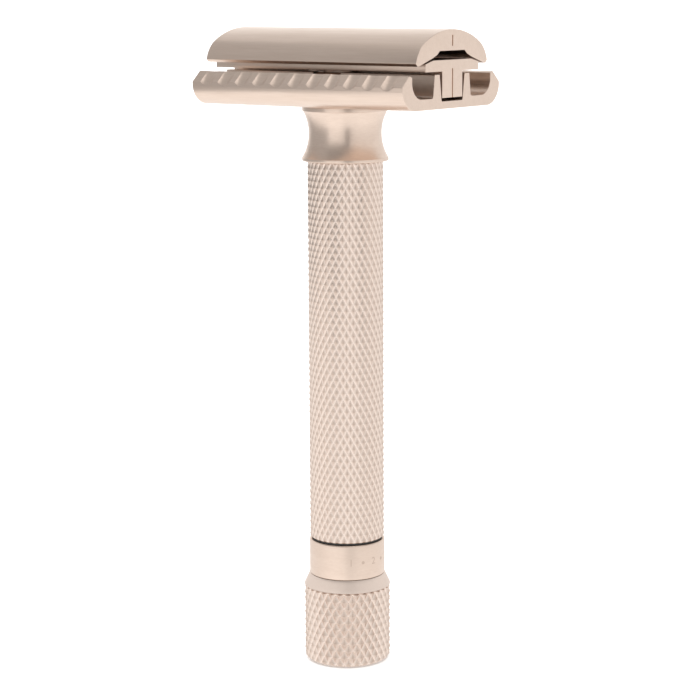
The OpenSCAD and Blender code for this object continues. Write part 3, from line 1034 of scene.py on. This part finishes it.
@dataclass
class Guard:
    """The base under the blade, with two scalloped bars, two ribs and a channel for the plate's stem."""

    channel_floor: float = -11.14
    channel_floor_y: float = 2.95
    channel_edge: float = 0.2
    rib_in_y: float = 3.5
    rib_out_y: float = 4.85
    rib_foot_y: float = 5.3
    rib_foot_edge: float = 0.35
    rib_top: float = -6.95
    trough_floor: float = -10.6
    trough_y: float = 8.4
    trough_radius: float = 2.6
    tip_in_z: float = -7.15
    tip_out: Point = (11.7, -6.9)
    corner_z: float = -8.6
    keel_y: float = 10.1
    keel_radius: float = 3.6
    edge: float = 0.12
    end_edge: float = 0.1
    scallop_count: int = 11
    scallop_pitch: float = 3.63
    scallop_radius: float = 1.9
    scallop_depth: float = 0.42
    scallop_tip_share: float = 0.3
    rim_softness: float = 0.05
    pocket_radius: float = 5.62
    hole_radius: float = 4.32

    def corners(self, half_width: float, foot: float) -> list[tuple[Point, float, Point]]:
        """The +Y half of the section from the underside round to the channel.

        Args:
            half_width: Half of the guard's width.
            foot: Height of the flat underside from the crown.

        Returns:
            (point, rounding radius, slide for each unit of scallop depth) for each corner.
        """
        still = (0.0, 0.0)
        tip, corner = Vector(self.tip_out), Vector((half_width, self.corner_z))
        along = (corner - tip).normalized()
        outward = Vector((-along.y, along.x))
        tip_in = Vector((self.trough_y + self.trough_radius, self.tip_in_z))
        inward = (tip_in - tip).normalized()
        tip_slide = inward / -inward.dot(outward) * self.scallop_tip_share
        corner_slide = Vector((0, 1 / -outward.y))
        keel_z = foot + self.keel_radius
        crease = math.degrees(math.acos((half_width - self.keel_y) / self.keel_radius))
        row: list[tuple[Point, float, Point]] = []
        for point in arc((self.keel_y, keel_z), self.keel_radius, -90, -crease, 18):
            row.append((point, 0.0, still))
        row.append((tuple(corner), self.edge, tuple(corner_slide)))
        for share in (0.8, 0.6, 0.4, 0.2):
            row.append((tuple(tip.lerp(corner, share)), 0.0, tuple(tip_slide.lerp(corner_slide, share))))
        row.append((tuple(tip), self.edge, tuple(tip_slide)))
        row.append((tuple(tip_in), self.edge, still))
        centre = (self.trough_y, self.trough_floor + self.trough_radius)
        for point in arc(centre, self.trough_radius, 0, -90, 16):
            row.append((point, 0.0, still))
        row += [((self.rib_foot_y, self.trough_floor), self.rib_foot_edge, still),
                ((self.rib_out_y, self.rib_top), self.edge, still),
                ((self.rib_in_y, self.rib_top), self.edge, still),
                ((self.channel_floor_y, self.channel_floor), self.channel_edge, still)]
        return row

    def section(self, half_width: float, foot: float) -> tuple[list[Point], list[Point]]:
        """The whole section, counter-clockwise, and the slide of each of its points."""
        half = self.corners(half_width, foot)
        points: list[Point] = []
        slides: list[Point] = []
        for i, (corner, radius, slide) in enumerate(half):
            before = half[i - 1][0] if i else (0.0, foot)
            after = half[i + 1][0] if i + 1 < len(half) else (0.0, self.channel_floor)
            arcs = rounded_corner(before, corner, after, radius)
            points += arcs
            slides += [slide] * len(arcs)
        return points + mirrored(points), slides + mirrored(slides)

    def stations(self, place: Place) -> list[tuple[float, float]]:
        """Sections close together across each scallop and far apart between them."""
        ends = bar_stations(place.lo.x, place.hi.x, self.end_edge)
        middle = len(ends) // 2
        half_span = math.sqrt(self.scallop_radius ** 2 - (self.scallop_radius - self.scallop_depth) ** 2)
        reach, spans = half_span + 0.2, 30
        inner: list[tuple[float, float]] = []
        for n in range(self.scallop_count):
            centre = (n - (self.scallop_count - 1) / 2) * self.scallop_pitch
            inner += [(centre + reach * (2 * i / spans - 1), 0.0) for i in range(spans + 1)]
        return ends[:middle] + inner + ends[middle:]

    def build(self, fitter: Fitter) -> None:
        """Makes the guard and the collar between its ribs."""
        crown = Place.of("cap").hi.z
        place = Place.of("guard")
        outline, slides = self.section(place.hi.y, place.lo.z - crown)
        stations = self.stations(place)
        mesh = bar_mesh("guard_base", outline, stations, crown)
        slide = mesh.attributes.new(ScallopTree.ATTRIBUTE, "FLOAT_VECTOR", "POINT")
        for i, datum in enumerate(slide.data):
            y, z = slides[i % len(slides)]
            datum.vector = (0.0, y, z)
        guard = make_object("guard_base", mesh)
        ScallopTree().shape(
            guard, SATIN_LONG.material(), count=self.scallop_count, pitch=self.scallop_pitch * MM,
            cutter_radius=self.scallop_radius * MM, depth=self.scallop_depth * MM,
            rim_softness=self.rim_softness * MM)
        guard.data.attributes.remove(guard.data.attributes[ScallopTree.ATTRIBUTE])
        close_up(guard.data)
        floor = crown + self.channel_floor
        carve(guard, [rod("pocket", (0, 0), self.pocket_radius, floor, crown),
                      rod("hole", (0, 0), self.hole_radius, place.lo.z - 1, crown)])
        fitter.fit(guard, Body.HANDLE, ["guard"], SATIN_LONG, sharp_angle=8)
        collar = Place.of("guard_collar")
        top = collar.hi.z - crown
        profile = [(self.hole_radius, self.channel_floor), (collar.radius, self.channel_floor),
                   (collar.radius, top - 0.35), (collar.radius - 0.35, top), (self.hole_radius, top)]
        fitter.fit(turned_piece("collar_boss", profile, crown, 0.06), Body.HANDLE, ["guard_collar"],
                   SATIN_TURNED)


# ---- Handle ----


@dataclass(frozen=True)
class Knurl:
    """A diamond knurl, cut by two crossing sets of helical grooves.

    Attributes:
        starts: Grooves in each set.
        axial_pitch: Distance between neighbouring grooves of a set along the axis.
        depth: Depth of a groove.
        half_width: Half the width of a groove, as a share of the distance between grooves.
        steps: Mesh steps between neighbouring grooves.
        plain_note: Groove note of the smooth parts beyond the knurl; it mixes part of the painted groove
            highlight into them, lifting them from the darkened crest tone to about the plain nickel tone.
    """

    starts: int
    axial_pitch: float
    depth: float
    half_width: float
    steps: int
    plain_note: float = 0.75

    @property
    def columns(self) -> int:
        """Corners in a ring of the mesh, so that every groove runs along its edges."""
        return self.starts * self.steps

    def rows(self, top: float, bottom: float) -> int:
        """Number of spans between two heights, an even one."""
        return 2 * round((top - bottom) * self.steps / self.axial_pitch)

    def cut(self, piece: bpy.types.Object, finish: Finish, radius: float, top: float, bottom: float,
            phase_bottom: float) -> bpy.types.Object:
        """Cuts the grooves.

        Args:
            piece: The turned mesh to cut.
            finish: Finish of the result.
            radius: Radius over the crests.
            top: Height where the knurl starts.
            bottom: Height where the knurl ends.
            phase_bottom: Lower end of the rows that set the pitch.

        Returns:
            The knurled piece.
        """
        pitch = (top - phase_bottom) / self.rows(top, phase_bottom) * 2 * self.steps
        return GrooveTree().shape(
            piece, finish.material(), starts=self.starts, axial_pitch=pitch * MM, depth=self.depth * MM,
            half_width=self.half_width, crossed=1, crest_radius=radius * MM, top=top * MM, bottom=bottom * MM,
            plain_note=self.plain_note)


@dataclass
class Handle:
    """The waisted neck, the knurled tube and the friction ring at its foot."""

    waist_height: float = -17.0
    waist_radius: float = 6.0
    curve_radius: float = 7.6
    rim_radius: float = 7.08
    rim_bevel: float = 0.3
    rim_foot: float = -13.35
    base_top: float = -21.0
    spigot_radius: float = 4.3
    foot_radius: float = 5.08
    top_bore: float = 3.6
    bush_top: float = -14.0
    tube_bore: float = 5.1
    tube_bevel: float = 0.25
    knurl: Knurl = Knurl(starts=34, axial_pitch=2.1, depth=0.24, half_width=0.48, steps=6)

    def neck_profile(self, crown: float) -> list[Point]:
        """The neck's section as (radius, height from the crown)."""
        place, guard, tube = Place.of("neck"), Place.of("guard"), Place.of("handle_tube")
        seat, tube_top = guard.lo.z - crown, tube.hi.z - crown
        centre = (self.waist_radius + self.curve_radius, self.waist_height)

        def on_curve(height: float) -> float:
            return 180 - math.degrees(math.asin((height - self.waist_height) / self.curve_radius))

        hollow = arc(centre, self.curve_radius, on_curve(self.rim_foot), on_curve(self.base_top), 36)
        outer = [(self.spigot_radius, place.hi.z - crown), (self.spigot_radius, seat),
                 (self.rim_radius - self.rim_bevel, seat), (self.rim_radius, seat - self.rim_bevel),
                 (self.rim_radius, self.rim_foot), *hollow, (place.radius, self.base_top),
                 (place.radius, tube_top)]
        inner = [(self.foot_radius, tube_top), (self.foot_radius, place.lo.z - crown),
                 (self.spigot_radius, place.lo.z - crown), (self.spigot_radius, self.bush_top),
                 (self.top_bore, self.bush_top), (self.top_bore, place.hi.z - crown)]
        return outer + inner

    def tube(self) -> bpy.types.Object:
        """The tube with its knurl, open at both ends."""
        place = Place.of("handle_tube")
        top, bottom, radius = place.hi.z, place.lo.z, place.radius
        rows = self.knurl.rows(top, bottom)
        hoops = []
        for j in range(rows + 1):
            height = top + (bottom - top) * j / rows
            from_end = min(top - height, height - bottom)
            hoops.append(Hoop(radius - max(0.0, self.tube_bevel - from_end), height, j))
        hoops += [Hoop(self.tube_bore, bottom, rows), Hoop(self.tube_bore, top, 0)]
        columns = self.knurl.columns
        mesh = knurl_tube_mesh("knurled_tube", hoops, columns, rows // 2)
        tube = make_object("knurled_tube", mesh)
        return self.knurl.cut(tube, KNURLED, radius, top, bottom, bottom)

    def build(self, fitter: Fitter) -> None:
        """Makes the neck, the tube and the friction ring."""
        crown = Place.of("cap").hi.z
        fitter.fit(turned_piece("waisted_neck", self.neck_profile(crown), crown, 0.12, 192), Body.HANDLE,
                   ["neck"], SATIN_TURNED)
        fitter.fit(self.tube(), Body.HANDLE, ["handle_tube"], KNURLED, sharp_angle=24)
        place = Place.of("friction_ring")
        top, foot = place.hi.z - crown, place.lo.z - crown
        profile = [(self.top_bore, top), (place.radius, top), (place.radius, foot), (self.top_bore, foot)]
        fitter.fit(turned_piece("friction_washer", profile, crown, 0.05), Body.HANDLE, ["friction_ring"],
                   NYLON)


def knurl_tube_mesh(name: str, hoops: Sequence[Hoop], columns: int, lag_columns: int) -> bpy.types.Mesh:
    """Joins the hoops of a knurled tube, whose bore takes back the twist of its outside.

    Args:
        name: Name of the mesh.
        hoops: The outside from the top down, then the bore's lower and upper rings.
        columns: Corners in a ring.
        lag_columns: By how many columns the outside's last ring lags behind its first.

    Returns:
        The mesh.
    """
    bore_top = hoops[-1]
    mesh = turned_mesh(name, hoops[:-1], columns, split=True)
    with reshaping(mesh) as shell:
        shell.verts.ensure_lookup_table()
        first = [shell.verts[i] for i in range(columns)]
        start = (len(hoops) - 2) * columns
        foot = [shell.verts[start + (i + lag_columns) % columns] for i in range(columns)]
        top = []
        for i in range(columns):
            angle = TURN * i / columns
            top.append(shell.verts.new(Vector((
                bore_top.radius * math.cos(angle), bore_top.radius * math.sin(angle), bore_top.height)) * MM))
        for i in range(columns):
            k = (i + 1) % columns
            shell.faces.new((foot[i], top[i], top[k], foot[k]))
            shell.faces.new((top[i], first[i], first[k], top[k]))
        bmesh.ops.recalc_face_normals(shell, faces=shell.faces)
    return mesh


@dataclass
class SettingKnob:
    """The dial ring with its numbers, the knurled knob and the screw in its foot."""

    hub_radius: float = 4.98
    hub_bevel: float = 0.1
    dial_bore: float = 5.0
    dial_bevel: float = 0.15
    cone_top_radius: float = 6.4
    shoulder_bevel: float = 0.08
    cone_height: float = 2.0
    cone_steps: int = 6
    rim_bevel: float = 0.05
    relief_depth: float = 0.3
    relief_height: float = 0.3
    foot_edge: float = 1.2
    foot_steps: int = 14
    well_bevel: float = 0.15
    well_radius: float = 3.8
    well_depth: float = 3.85
    slot_width: float = 0.9
    slot_depth: float = 1.0
    numeral_size: float = 1.7
    inlay_depth: float = 0.02
    inlay_height: float = 0.008
    first_bearing: float = -47.5
    dial_step: float = 38.0
    numerals: str = "12345"
    knurl: Knurl = Knurl(starts=31, axial_pitch=2.45, depth=0.42, half_width=0.48, steps=8)

    def knob(self) -> bpy.types.Object:
        """The knob: hub, smooth cone, knurled grip with a round foot, and the screw's well."""
        place, ring = Place.of("knob"), Place.of("dial_ring")
        foot, radius, shoulder = place.lo.z, place.radius, ring.lo.z - 0.04
        cone_foot = shoulder - self.cone_height
        knurl_top = cone_foot - self.relief_height
        hoops = [Hoop(0, place.hi.z), Hoop(self.hub_radius - self.hub_bevel, place.hi.z),
                 Hoop(self.hub_radius, place.hi.z - self.hub_bevel), Hoop(self.hub_radius, shoulder),
                 Hoop(self.cone_top_radius - self.shoulder_bevel, shoulder),
                 Hoop(self.cone_top_radius, shoulder - self.shoulder_bevel)]
        for i in range(1, self.cone_steps):
            share = i / self.cone_steps
            hoops.append(Hoop(self.cone_top_radius + (radius - self.cone_top_radius) * share,
                              shoulder - self.cone_height * share))
        hoops += [Hoop(radius - self.rim_bevel, cone_foot + self.rim_bevel), Hoop(radius, cone_foot),
                  Hoop(radius - self.rim_bevel, cone_foot - self.rim_bevel),
                  Hoop(radius - self.relief_depth, knurl_top + 0.06),
                  Hoop(radius - self.relief_depth, knurl_top + 0.01)]
        rows = self.knurl.rows(knurl_top, foot)
        span = (knurl_top - foot) / rows
        for j in range(rows + 1):
            height = knurl_top - j * span
            if height < foot + self.foot_edge + span:
                break
            hoops.append(Hoop(radius, height, j))
        centre = (radius - self.foot_edge, foot + self.foot_edge)
        for r, z in arc(centre, self.foot_edge, 0, -90, self.foot_steps):
            hoops.append(Hoop(r, z, (knurl_top - z) / span))
        lag = hoops[-1].lag
        well = foot + self.well_depth
        hoops += [Hoop(self.well_radius + self.well_bevel, foot, lag),
                  Hoop(self.well_radius, foot + self.well_bevel, lag),
                  Hoop(self.well_radius, well, lag), Hoop(0, well, lag)]
        mesh = turned_mesh("setting_knob_body", hoops, self.knurl.columns, split=True)
        knob = make_object("setting_knob_body", mesh)
        return self.knurl.cut(knob, KNURLED, radius, knurl_top, foot + 0.01, foot)

    def build(self, fitter: Fitter) -> None:
        """Makes the dial ring, its marks, the knob and its screw."""
        crown = Place.of("cap").hi.z
        ring = Place.of("dial_ring")
        top, foot = ring.hi.z - crown, ring.lo.z - crown
        profile = [(self.dial_bore, top), (ring.radius - self.dial_bevel, top),
                   (ring.radius, top - self.dial_bevel), (ring.radius, foot + 0.1), (ring.radius - 0.1, foot),
                   (self.dial_bore, foot)]
        fitter.fit(turned_piece("dial_band", profile, crown, 0.03, 192), Body.KNOB, ["dial_ring"],
                   SATIN_TURNED)
        middle = (ring.hi.z + ring.lo.z) / 2
        fitter.fit(self.dial_numbers(ring.radius, middle), Body.KNOB, [], DIAL_INLAY)
        fitter.fit(self.dial_dots(ring.radius, middle), Body.KNOB, [], DIAL_INLAY)
        fitter.fit(self.knob(), Body.KNOB, ["knob"], KNURLED, sharp_angle=24)
        fitter.fit(self.screw(crown), Body.KNOB, ["knob_screw"], STEEL)

    def dial_numbers(self, radius: float, height: float) -> bpy.types.Object:
        """The dial's numbers as thin inlays that follow the ring.

        Args:
            radius: Outer radius of the ring.
            height: Height of the numbers' middle.

        Returns:
            One closed piece.
        """
        parts = []
        for i, numeral in enumerate(self.numerals):
            text = bpy.data.curves.new("dial_number", "FONT")
            text.body = numeral
            text.size = self.numeral_size * MM
            text.align_x, text.align_y = "CENTER", "CENTER"
            text.resolution_u = 5
            flat = settle_text(text)
            bearing = math.radians(self.first_bearing + i * self.dial_step)
            parts.append(make_object("dial_numbers", wrapped_inlay(
                flat, radius * MM, bearing, height * MM, self.inlay_depth * MM, self.inlay_height * MM)))
        return joined(parts)

    def dial_dots(self, radius: float, height: float) -> bpy.types.Object:
        """Round dots between the numbers."""
        dot, sides = 0.28, 20
        inner, outer = -self.inlay_depth - 0.02, self.inlay_height
        points = [(x, dot * math.cos(TURN * i / sides), dot * math.sin(TURN * i / sides))
                  for x in (inner, outer) for i in range(sides)]
        faces = [tuple(range(sides)), tuple(range(sides, 2 * sides))]
        faces += [(i, (i + 1) % sides, sides + (i + 1) % sides, sides + i) for i in range(sides)]
        mark = make_object("dial_dots", make_mesh("dial_dots", points, faces))
        first = math.radians(self.first_bearing + self.dial_step / 2)
        return RingMarksTree().shape(
            mark, DIAL_INLAY.material(), count=len(self.numerals) - 1, first_angle=first,
            step_angle=math.radians(self.dial_step), radius=radius * MM, height=height * MM)

    def screw(self, crown: float) -> bpy.types.Object:
        """The slotted screw that holds knob, dial ring and draw tube together."""
        place = Place.of("knob_screw")
        head_radius, shank_radius, head_height = place.radius, 1.5, 2.5
        top, foot = place.hi.z - crown, place.lo.z - crown
        profile = [(0, top), (shank_radius, top), (shank_radius, foot + head_height),
                   (head_radius, foot + head_height), (head_radius, foot + 0.3), (head_radius - 0.3, foot),
                   (0, foot)]
        screw = turned_piece("slotted_screw", profile, crown, 0.15, 96, solid=True)
        slot = block("slot", (-head_radius - 1, -self.slot_width / 2, place.lo.z - 1),
                     (head_radius + 1, self.slot_width / 2, place.lo.z + self.slot_depth))
        return carve(screw, [slot])


def settle_text(text: bpy.types.TextCurve) -> bpy.types.Mesh:
    """Turns a text into a flat mesh."""
    holder = bpy.data.objects.new(text.name, text)
    bpy.context.scene.collection.objects.link(holder)
    depsgraph = bpy.context.evaluated_depsgraph_get()
    mesh = bpy.data.meshes.new_from_object(holder.evaluated_get(depsgraph), depsgraph=depsgraph)
    bpy.data.objects.remove(holder)
    return mesh


def wrapped_inlay(flat: bpy.types.Mesh, radius: float, bearing: float, height: float, depth: float,
                  proud: float) -> bpy.types.Mesh:
    """Thickens a flat figure and bends it round the Z axis.

    Args:
        flat: The figure in its own plane, in metres.
        radius: Radius of the cylinder it lies on.
        bearing: Angle of the figure's middle about the axis.
        height: Height of the figure's middle.
        depth: How far it reaches below the surface.
        proud: How far it stands above the surface.

    Returns:
        The closed inlay.
    """
    reach, slices = 0.0012, 24
    with reshaping(flat) as shell:
        bmesh.ops.remove_doubles(shell, verts=shell.verts, dist=WELD)
        for i in range(1, slices):
            cut = -reach + 2 * reach * i / slices
            geometry = [*shell.verts, *shell.edges, *shell.faces]
            bmesh.ops.bisect_plane(shell, geom=geometry, plane_co=(cut, 0, 0), plane_no=(1, 0, 0))
        raised = bmesh.ops.extrude_face_region(shell, geom=shell.faces[:])
        for corner in (g for g in raised["geom"] if isinstance(g, bmesh.types.BMVert)):
            corner.co.z = proud + depth
        for corner in shell.verts:
            angle, out = bearing + corner.co.x / radius, radius - depth + corner.co.z
            corner.co = (out * math.cos(angle), out * math.sin(angle), height + corner.co.y)
        bmesh.ops.recalc_face_normals(shell, faces=shell.faces)
    return flat


# ---- Studio ----


@dataclass(frozen=True)
class SoftSpot:
    """A soft patch of the studio's surroundings that is lighter or darker than the rest.

    Attributes:
        bearing: Degrees to the right of the camera, seen from the razor.
        rise: Degrees above the horizon.
        core: Half angle of the even part, in degrees.
        fade: Half angle where it ends, in degrees.
        change: Share by which it changes the light there.
    """

    bearing: float
    rise: float
    core: float
    fade: float
    change: float


@dataclass(frozen=True)
class Ramp:
    """A change of the surroundings' light with the height of the direction, 1 being straight up.

    Attributes:
        low: Height where the change starts.
        high: Height where it ends.
        below: Light at the low end and under it.
        above: Light at the high end and over it.
    """

    low: float
    high: float
    below: float
    above: float


@dataclass(frozen=True)
class Flag:
    """A curved panel that stands around the razor and only shows as a dim reflection in the metal.

    Attributes:
        start: Bearing of its left edge, in degrees to the right of the camera.
        stop: Bearing of its right edge.
        low: Height of its lower edge, in millimetres.
        high: Height of its upper edge.
        level: Brightness of its face.
    """

    start: float
    stop: float
    low: float
    high: float
    level: float

    def build(self, name: str, radius: float, camera_bearing: float) -> bpy.types.Object:
        """Stands the panel up.

        Args:
            name: Name of the panel.
            radius: Distance from the handle's axis.
            camera_bearing: Bearing of the camera in the scene, in degrees.

        Returns:
            The panel.
        """
        steps = max(2, round(abs(self.stop - self.start) / 6))
        points: list[tuple[float, float, float]] = []
        for i in range(steps + 1):
            angle = math.radians(camera_bearing - 90 + self.start + (self.stop - self.start) * i / steps)
            points += [(radius * math.cos(angle), radius * math.sin(angle), z) for z in (self.low, self.high)]
        faces = [(2 * i, 2 * i + 2, 2 * i + 3, 2 * i + 1) for i in range(steps)]
        panel = make_object(name, make_mesh(name, points, faces))
        material = bpy.data.materials.new(name)
        wires = Wiring.blank(material)
        face = wires.add("ShaderNodeEmission", {"Color": (1.0, 1.0, 1.0, 1.0), "Strength": self.level})
        wires.add("ShaderNodeOutputMaterial", {"Surface": face.outputs[0]})
        panel.data.materials.append(material)
        panel.visible_camera = panel.visible_diffuse = panel.visible_shadow = False
        return panel


@dataclass
class Studio:
    """The camera, the surroundings, the pale floor with its own lamp, and the panels the metal reflects."""

    camera_bearing: float = 36.68
    camera_rise: float = 10.10
    camera_distance: float = 342.47
    camera_aside: float = 0.62
    camera_aim_height: float = 53.2
    camera_roll: float = -0.26
    lens: float = 105.4
    sensor: float = 36.0
    clip: tuple[float, float] = (0.01, 200.0)
    floor_radius: float = 40000.0
    floor_height: float = -0.02
    floor_light_energy: float = 3.0
    floor_light_angle: float = 170.0
    ramps: tuple[Ramp, ...] = (
        Ramp(-0.55, -0.12, 1.3, 1.06),
        Ramp(0.42, 0.8, 1.0, 0.6),
    )
    spots: tuple[SoftSpot, ...] = (
        SoftSpot(10, -8, 4, 20, -0.20),
        SoftSpot(9, 36, 4, 20, -0.20),
        SoftSpot(-40, -8, 12, 46, 0.12),
        SoftSpot(180, 4, 18, 27, 0.30),
        SoftSpot(0, 90, 12, 30, 1.3),
    )
    flag_distance: float = 60.0
    flags: tuple[Flag, ...] = (
        Flag(-135, -52, 71, 250, 0.53),
        Flag(-58, 13, 104, 250, 0.36),
        Flag(1, 13, 68, 104, 0.08),
    )

    def camera(self) -> None:
        """Makes the camera and gives it to the scene."""
        bearing, rise = math.radians(self.camera_bearing), math.radians(self.camera_rise)
        back = Vector((math.sin(bearing) * math.cos(rise), -math.cos(bearing) * math.cos(rise), math.sin(rise)))
        right = Vector((math.cos(bearing), math.sin(bearing), 0))
        aim = right * self.camera_aside + Vector((0, 0, self.camera_aim_height))
        lens = bpy.data.cameras.new("studio_camera")
        lens.lens, lens.sensor_width, lens.sensor_fit = self.lens, self.sensor, "HORIZONTAL"
        lens.clip_start, lens.clip_end = self.clip
        camera = bpy.data.objects.new("studio_camera", lens)
        bpy.context.scene.collection.objects.link(camera)
        up = back.cross(right)
        turn = Matrix((right, up, back)).transposed().to_4x4()
        roll = Matrix.Rotation(math.radians(self.camera_roll), 4, "Z")
        camera.matrix_world = Matrix.Translation((aim + back * self.camera_distance) * MM) @ turn @ roll
        bpy.context.scene.camera = camera

    def surroundings(self) -> None:
        """Paints the light around the razor: bright below and behind, with soft lighter and darker patches."""
        world = bpy.data.worlds.new("studio_surroundings")
        bpy.context.scene.world = world
        wires = Wiring.blank(world)
        look = wires.add("ShaderNodeTexCoord").outputs["Generated"]
        height = wires.add("ShaderNodeSeparateXYZ", {0: look}).outputs[2]
        light: Feed = 1.0
        for ramp in self.ramps:
            part = wires.add("ShaderNodeMapRange", {
                "Value": height, "From Min": ramp.low, "From Max": ramp.high, "To Min": ramp.below,
                "To Max": ramp.above}, interpolation_type="SMOOTHSTEP").outputs[0]
            light = wires.math("MULTIPLY", light, part)
        for spot in self.spots:
            angle = math.radians(self.camera_bearing - 90 + spot.bearing)
            rise = math.radians(spot.rise)
            centre = (math.cos(rise) * math.cos(angle), math.cos(rise) * math.sin(angle), math.sin(rise))
            near = wires.add("ShaderNodeVectorMath", {0: look, 1: centre}, operation="DOT_PRODUCT")
            mask = wires.add("ShaderNodeMapRange", {
                "Value": near.outputs["Value"], "From Min": math.cos(math.radians(spot.fade)),
                "From Max": math.cos(math.radians(spot.core))}, interpolation_type="SMOOTHSTEP").outputs[0]
            light = wires.math("MULTIPLY", light,
                               wires.math("ADD", wires.math("MULTIPLY", mask, spot.change), 1.0))
        background = wires.add("ShaderNodeBackground", {"Color": (1.0, 0.995, 0.985, 1.0), "Strength": light})
        wires.add("ShaderNodeOutputWorld", {"Surface": background.outputs[0]})

    def floor(self) -> None:
        """Lays the pale floor just under the razor's foot."""
        material = bpy.data.materials.new("pale_floor")
        material.use_nodes = True
        shader = material.node_tree.nodes["Principled BSDF"]
        shader.inputs["Base Color"].default_value = (0.93, 0.93, 0.93, 1.0)
        shader.inputs["Roughness"].default_value = 0.9
        shader.inputs["Specular IOR Level"].default_value = 0.1
        mesh = turned_mesh("studio_floor", [Hoop(r, self.floor_height) for r in (self.floor_radius, 0)], 64)
        mesh.materials.append(material)
        floor = make_object("studio_floor", mesh)
        floor.visible_glossy = False

    def floor_light(self) -> None:
        """Lights the floor from straight above without showing in the metal."""
        lamp = bpy.data.lights.new("floor_light", "SUN")
        lamp.energy, lamp.angle = self.floor_light_energy, math.radians(self.floor_light_angle)
        light = bpy.data.objects.new("floor_light", lamp)
        light.visible_glossy = False
        bpy.context.scene.collection.objects.link(light)

    def build(self) -> None:
        """Sets up the whole studio."""
        self.camera()
        self.surroundings()
        self.floor()
        self.floor_light()
        for i, flag in enumerate(self.flags):
            flag.build(f"studio_flag_{i + 1}", self.flag_distance, self.camera_bearing)
        view = bpy.context.scene.view_settings
        view.view_transform, view.look = "Standard", "None"


def main() -> None:
    """Builds the razor round the frame."""
    logging.basicConfig(level=logging.INFO, format="%(name)s: %(message)s")
    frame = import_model()
    fitter = Fitter()
    for assembly in (Cap(), BladePlate(), Guard(), Handle(), SettingKnob()):
        assembly.build(fitter)
    fitter.dress(frame["nodes"], ("neck_bush", "spring_seat", "thrust_washer", "lower_bush", "draw_nut",
                                  "draw_tube"), BRASS)
    fitter.dress(frame["nodes"], ("plunger_clip", "spring_washer"), STEEL)
    fitter.fit(coil_spring(frame["nodes"]["plate_spring"]), Body.HANDLE, ["plate_spring"], STEEL,
               toward=Body.PLATE)
    Studio().build()
    LOG.info("%d pieces fitted", len(fitter.pieces))


if __name__ == "__main__":
    main()
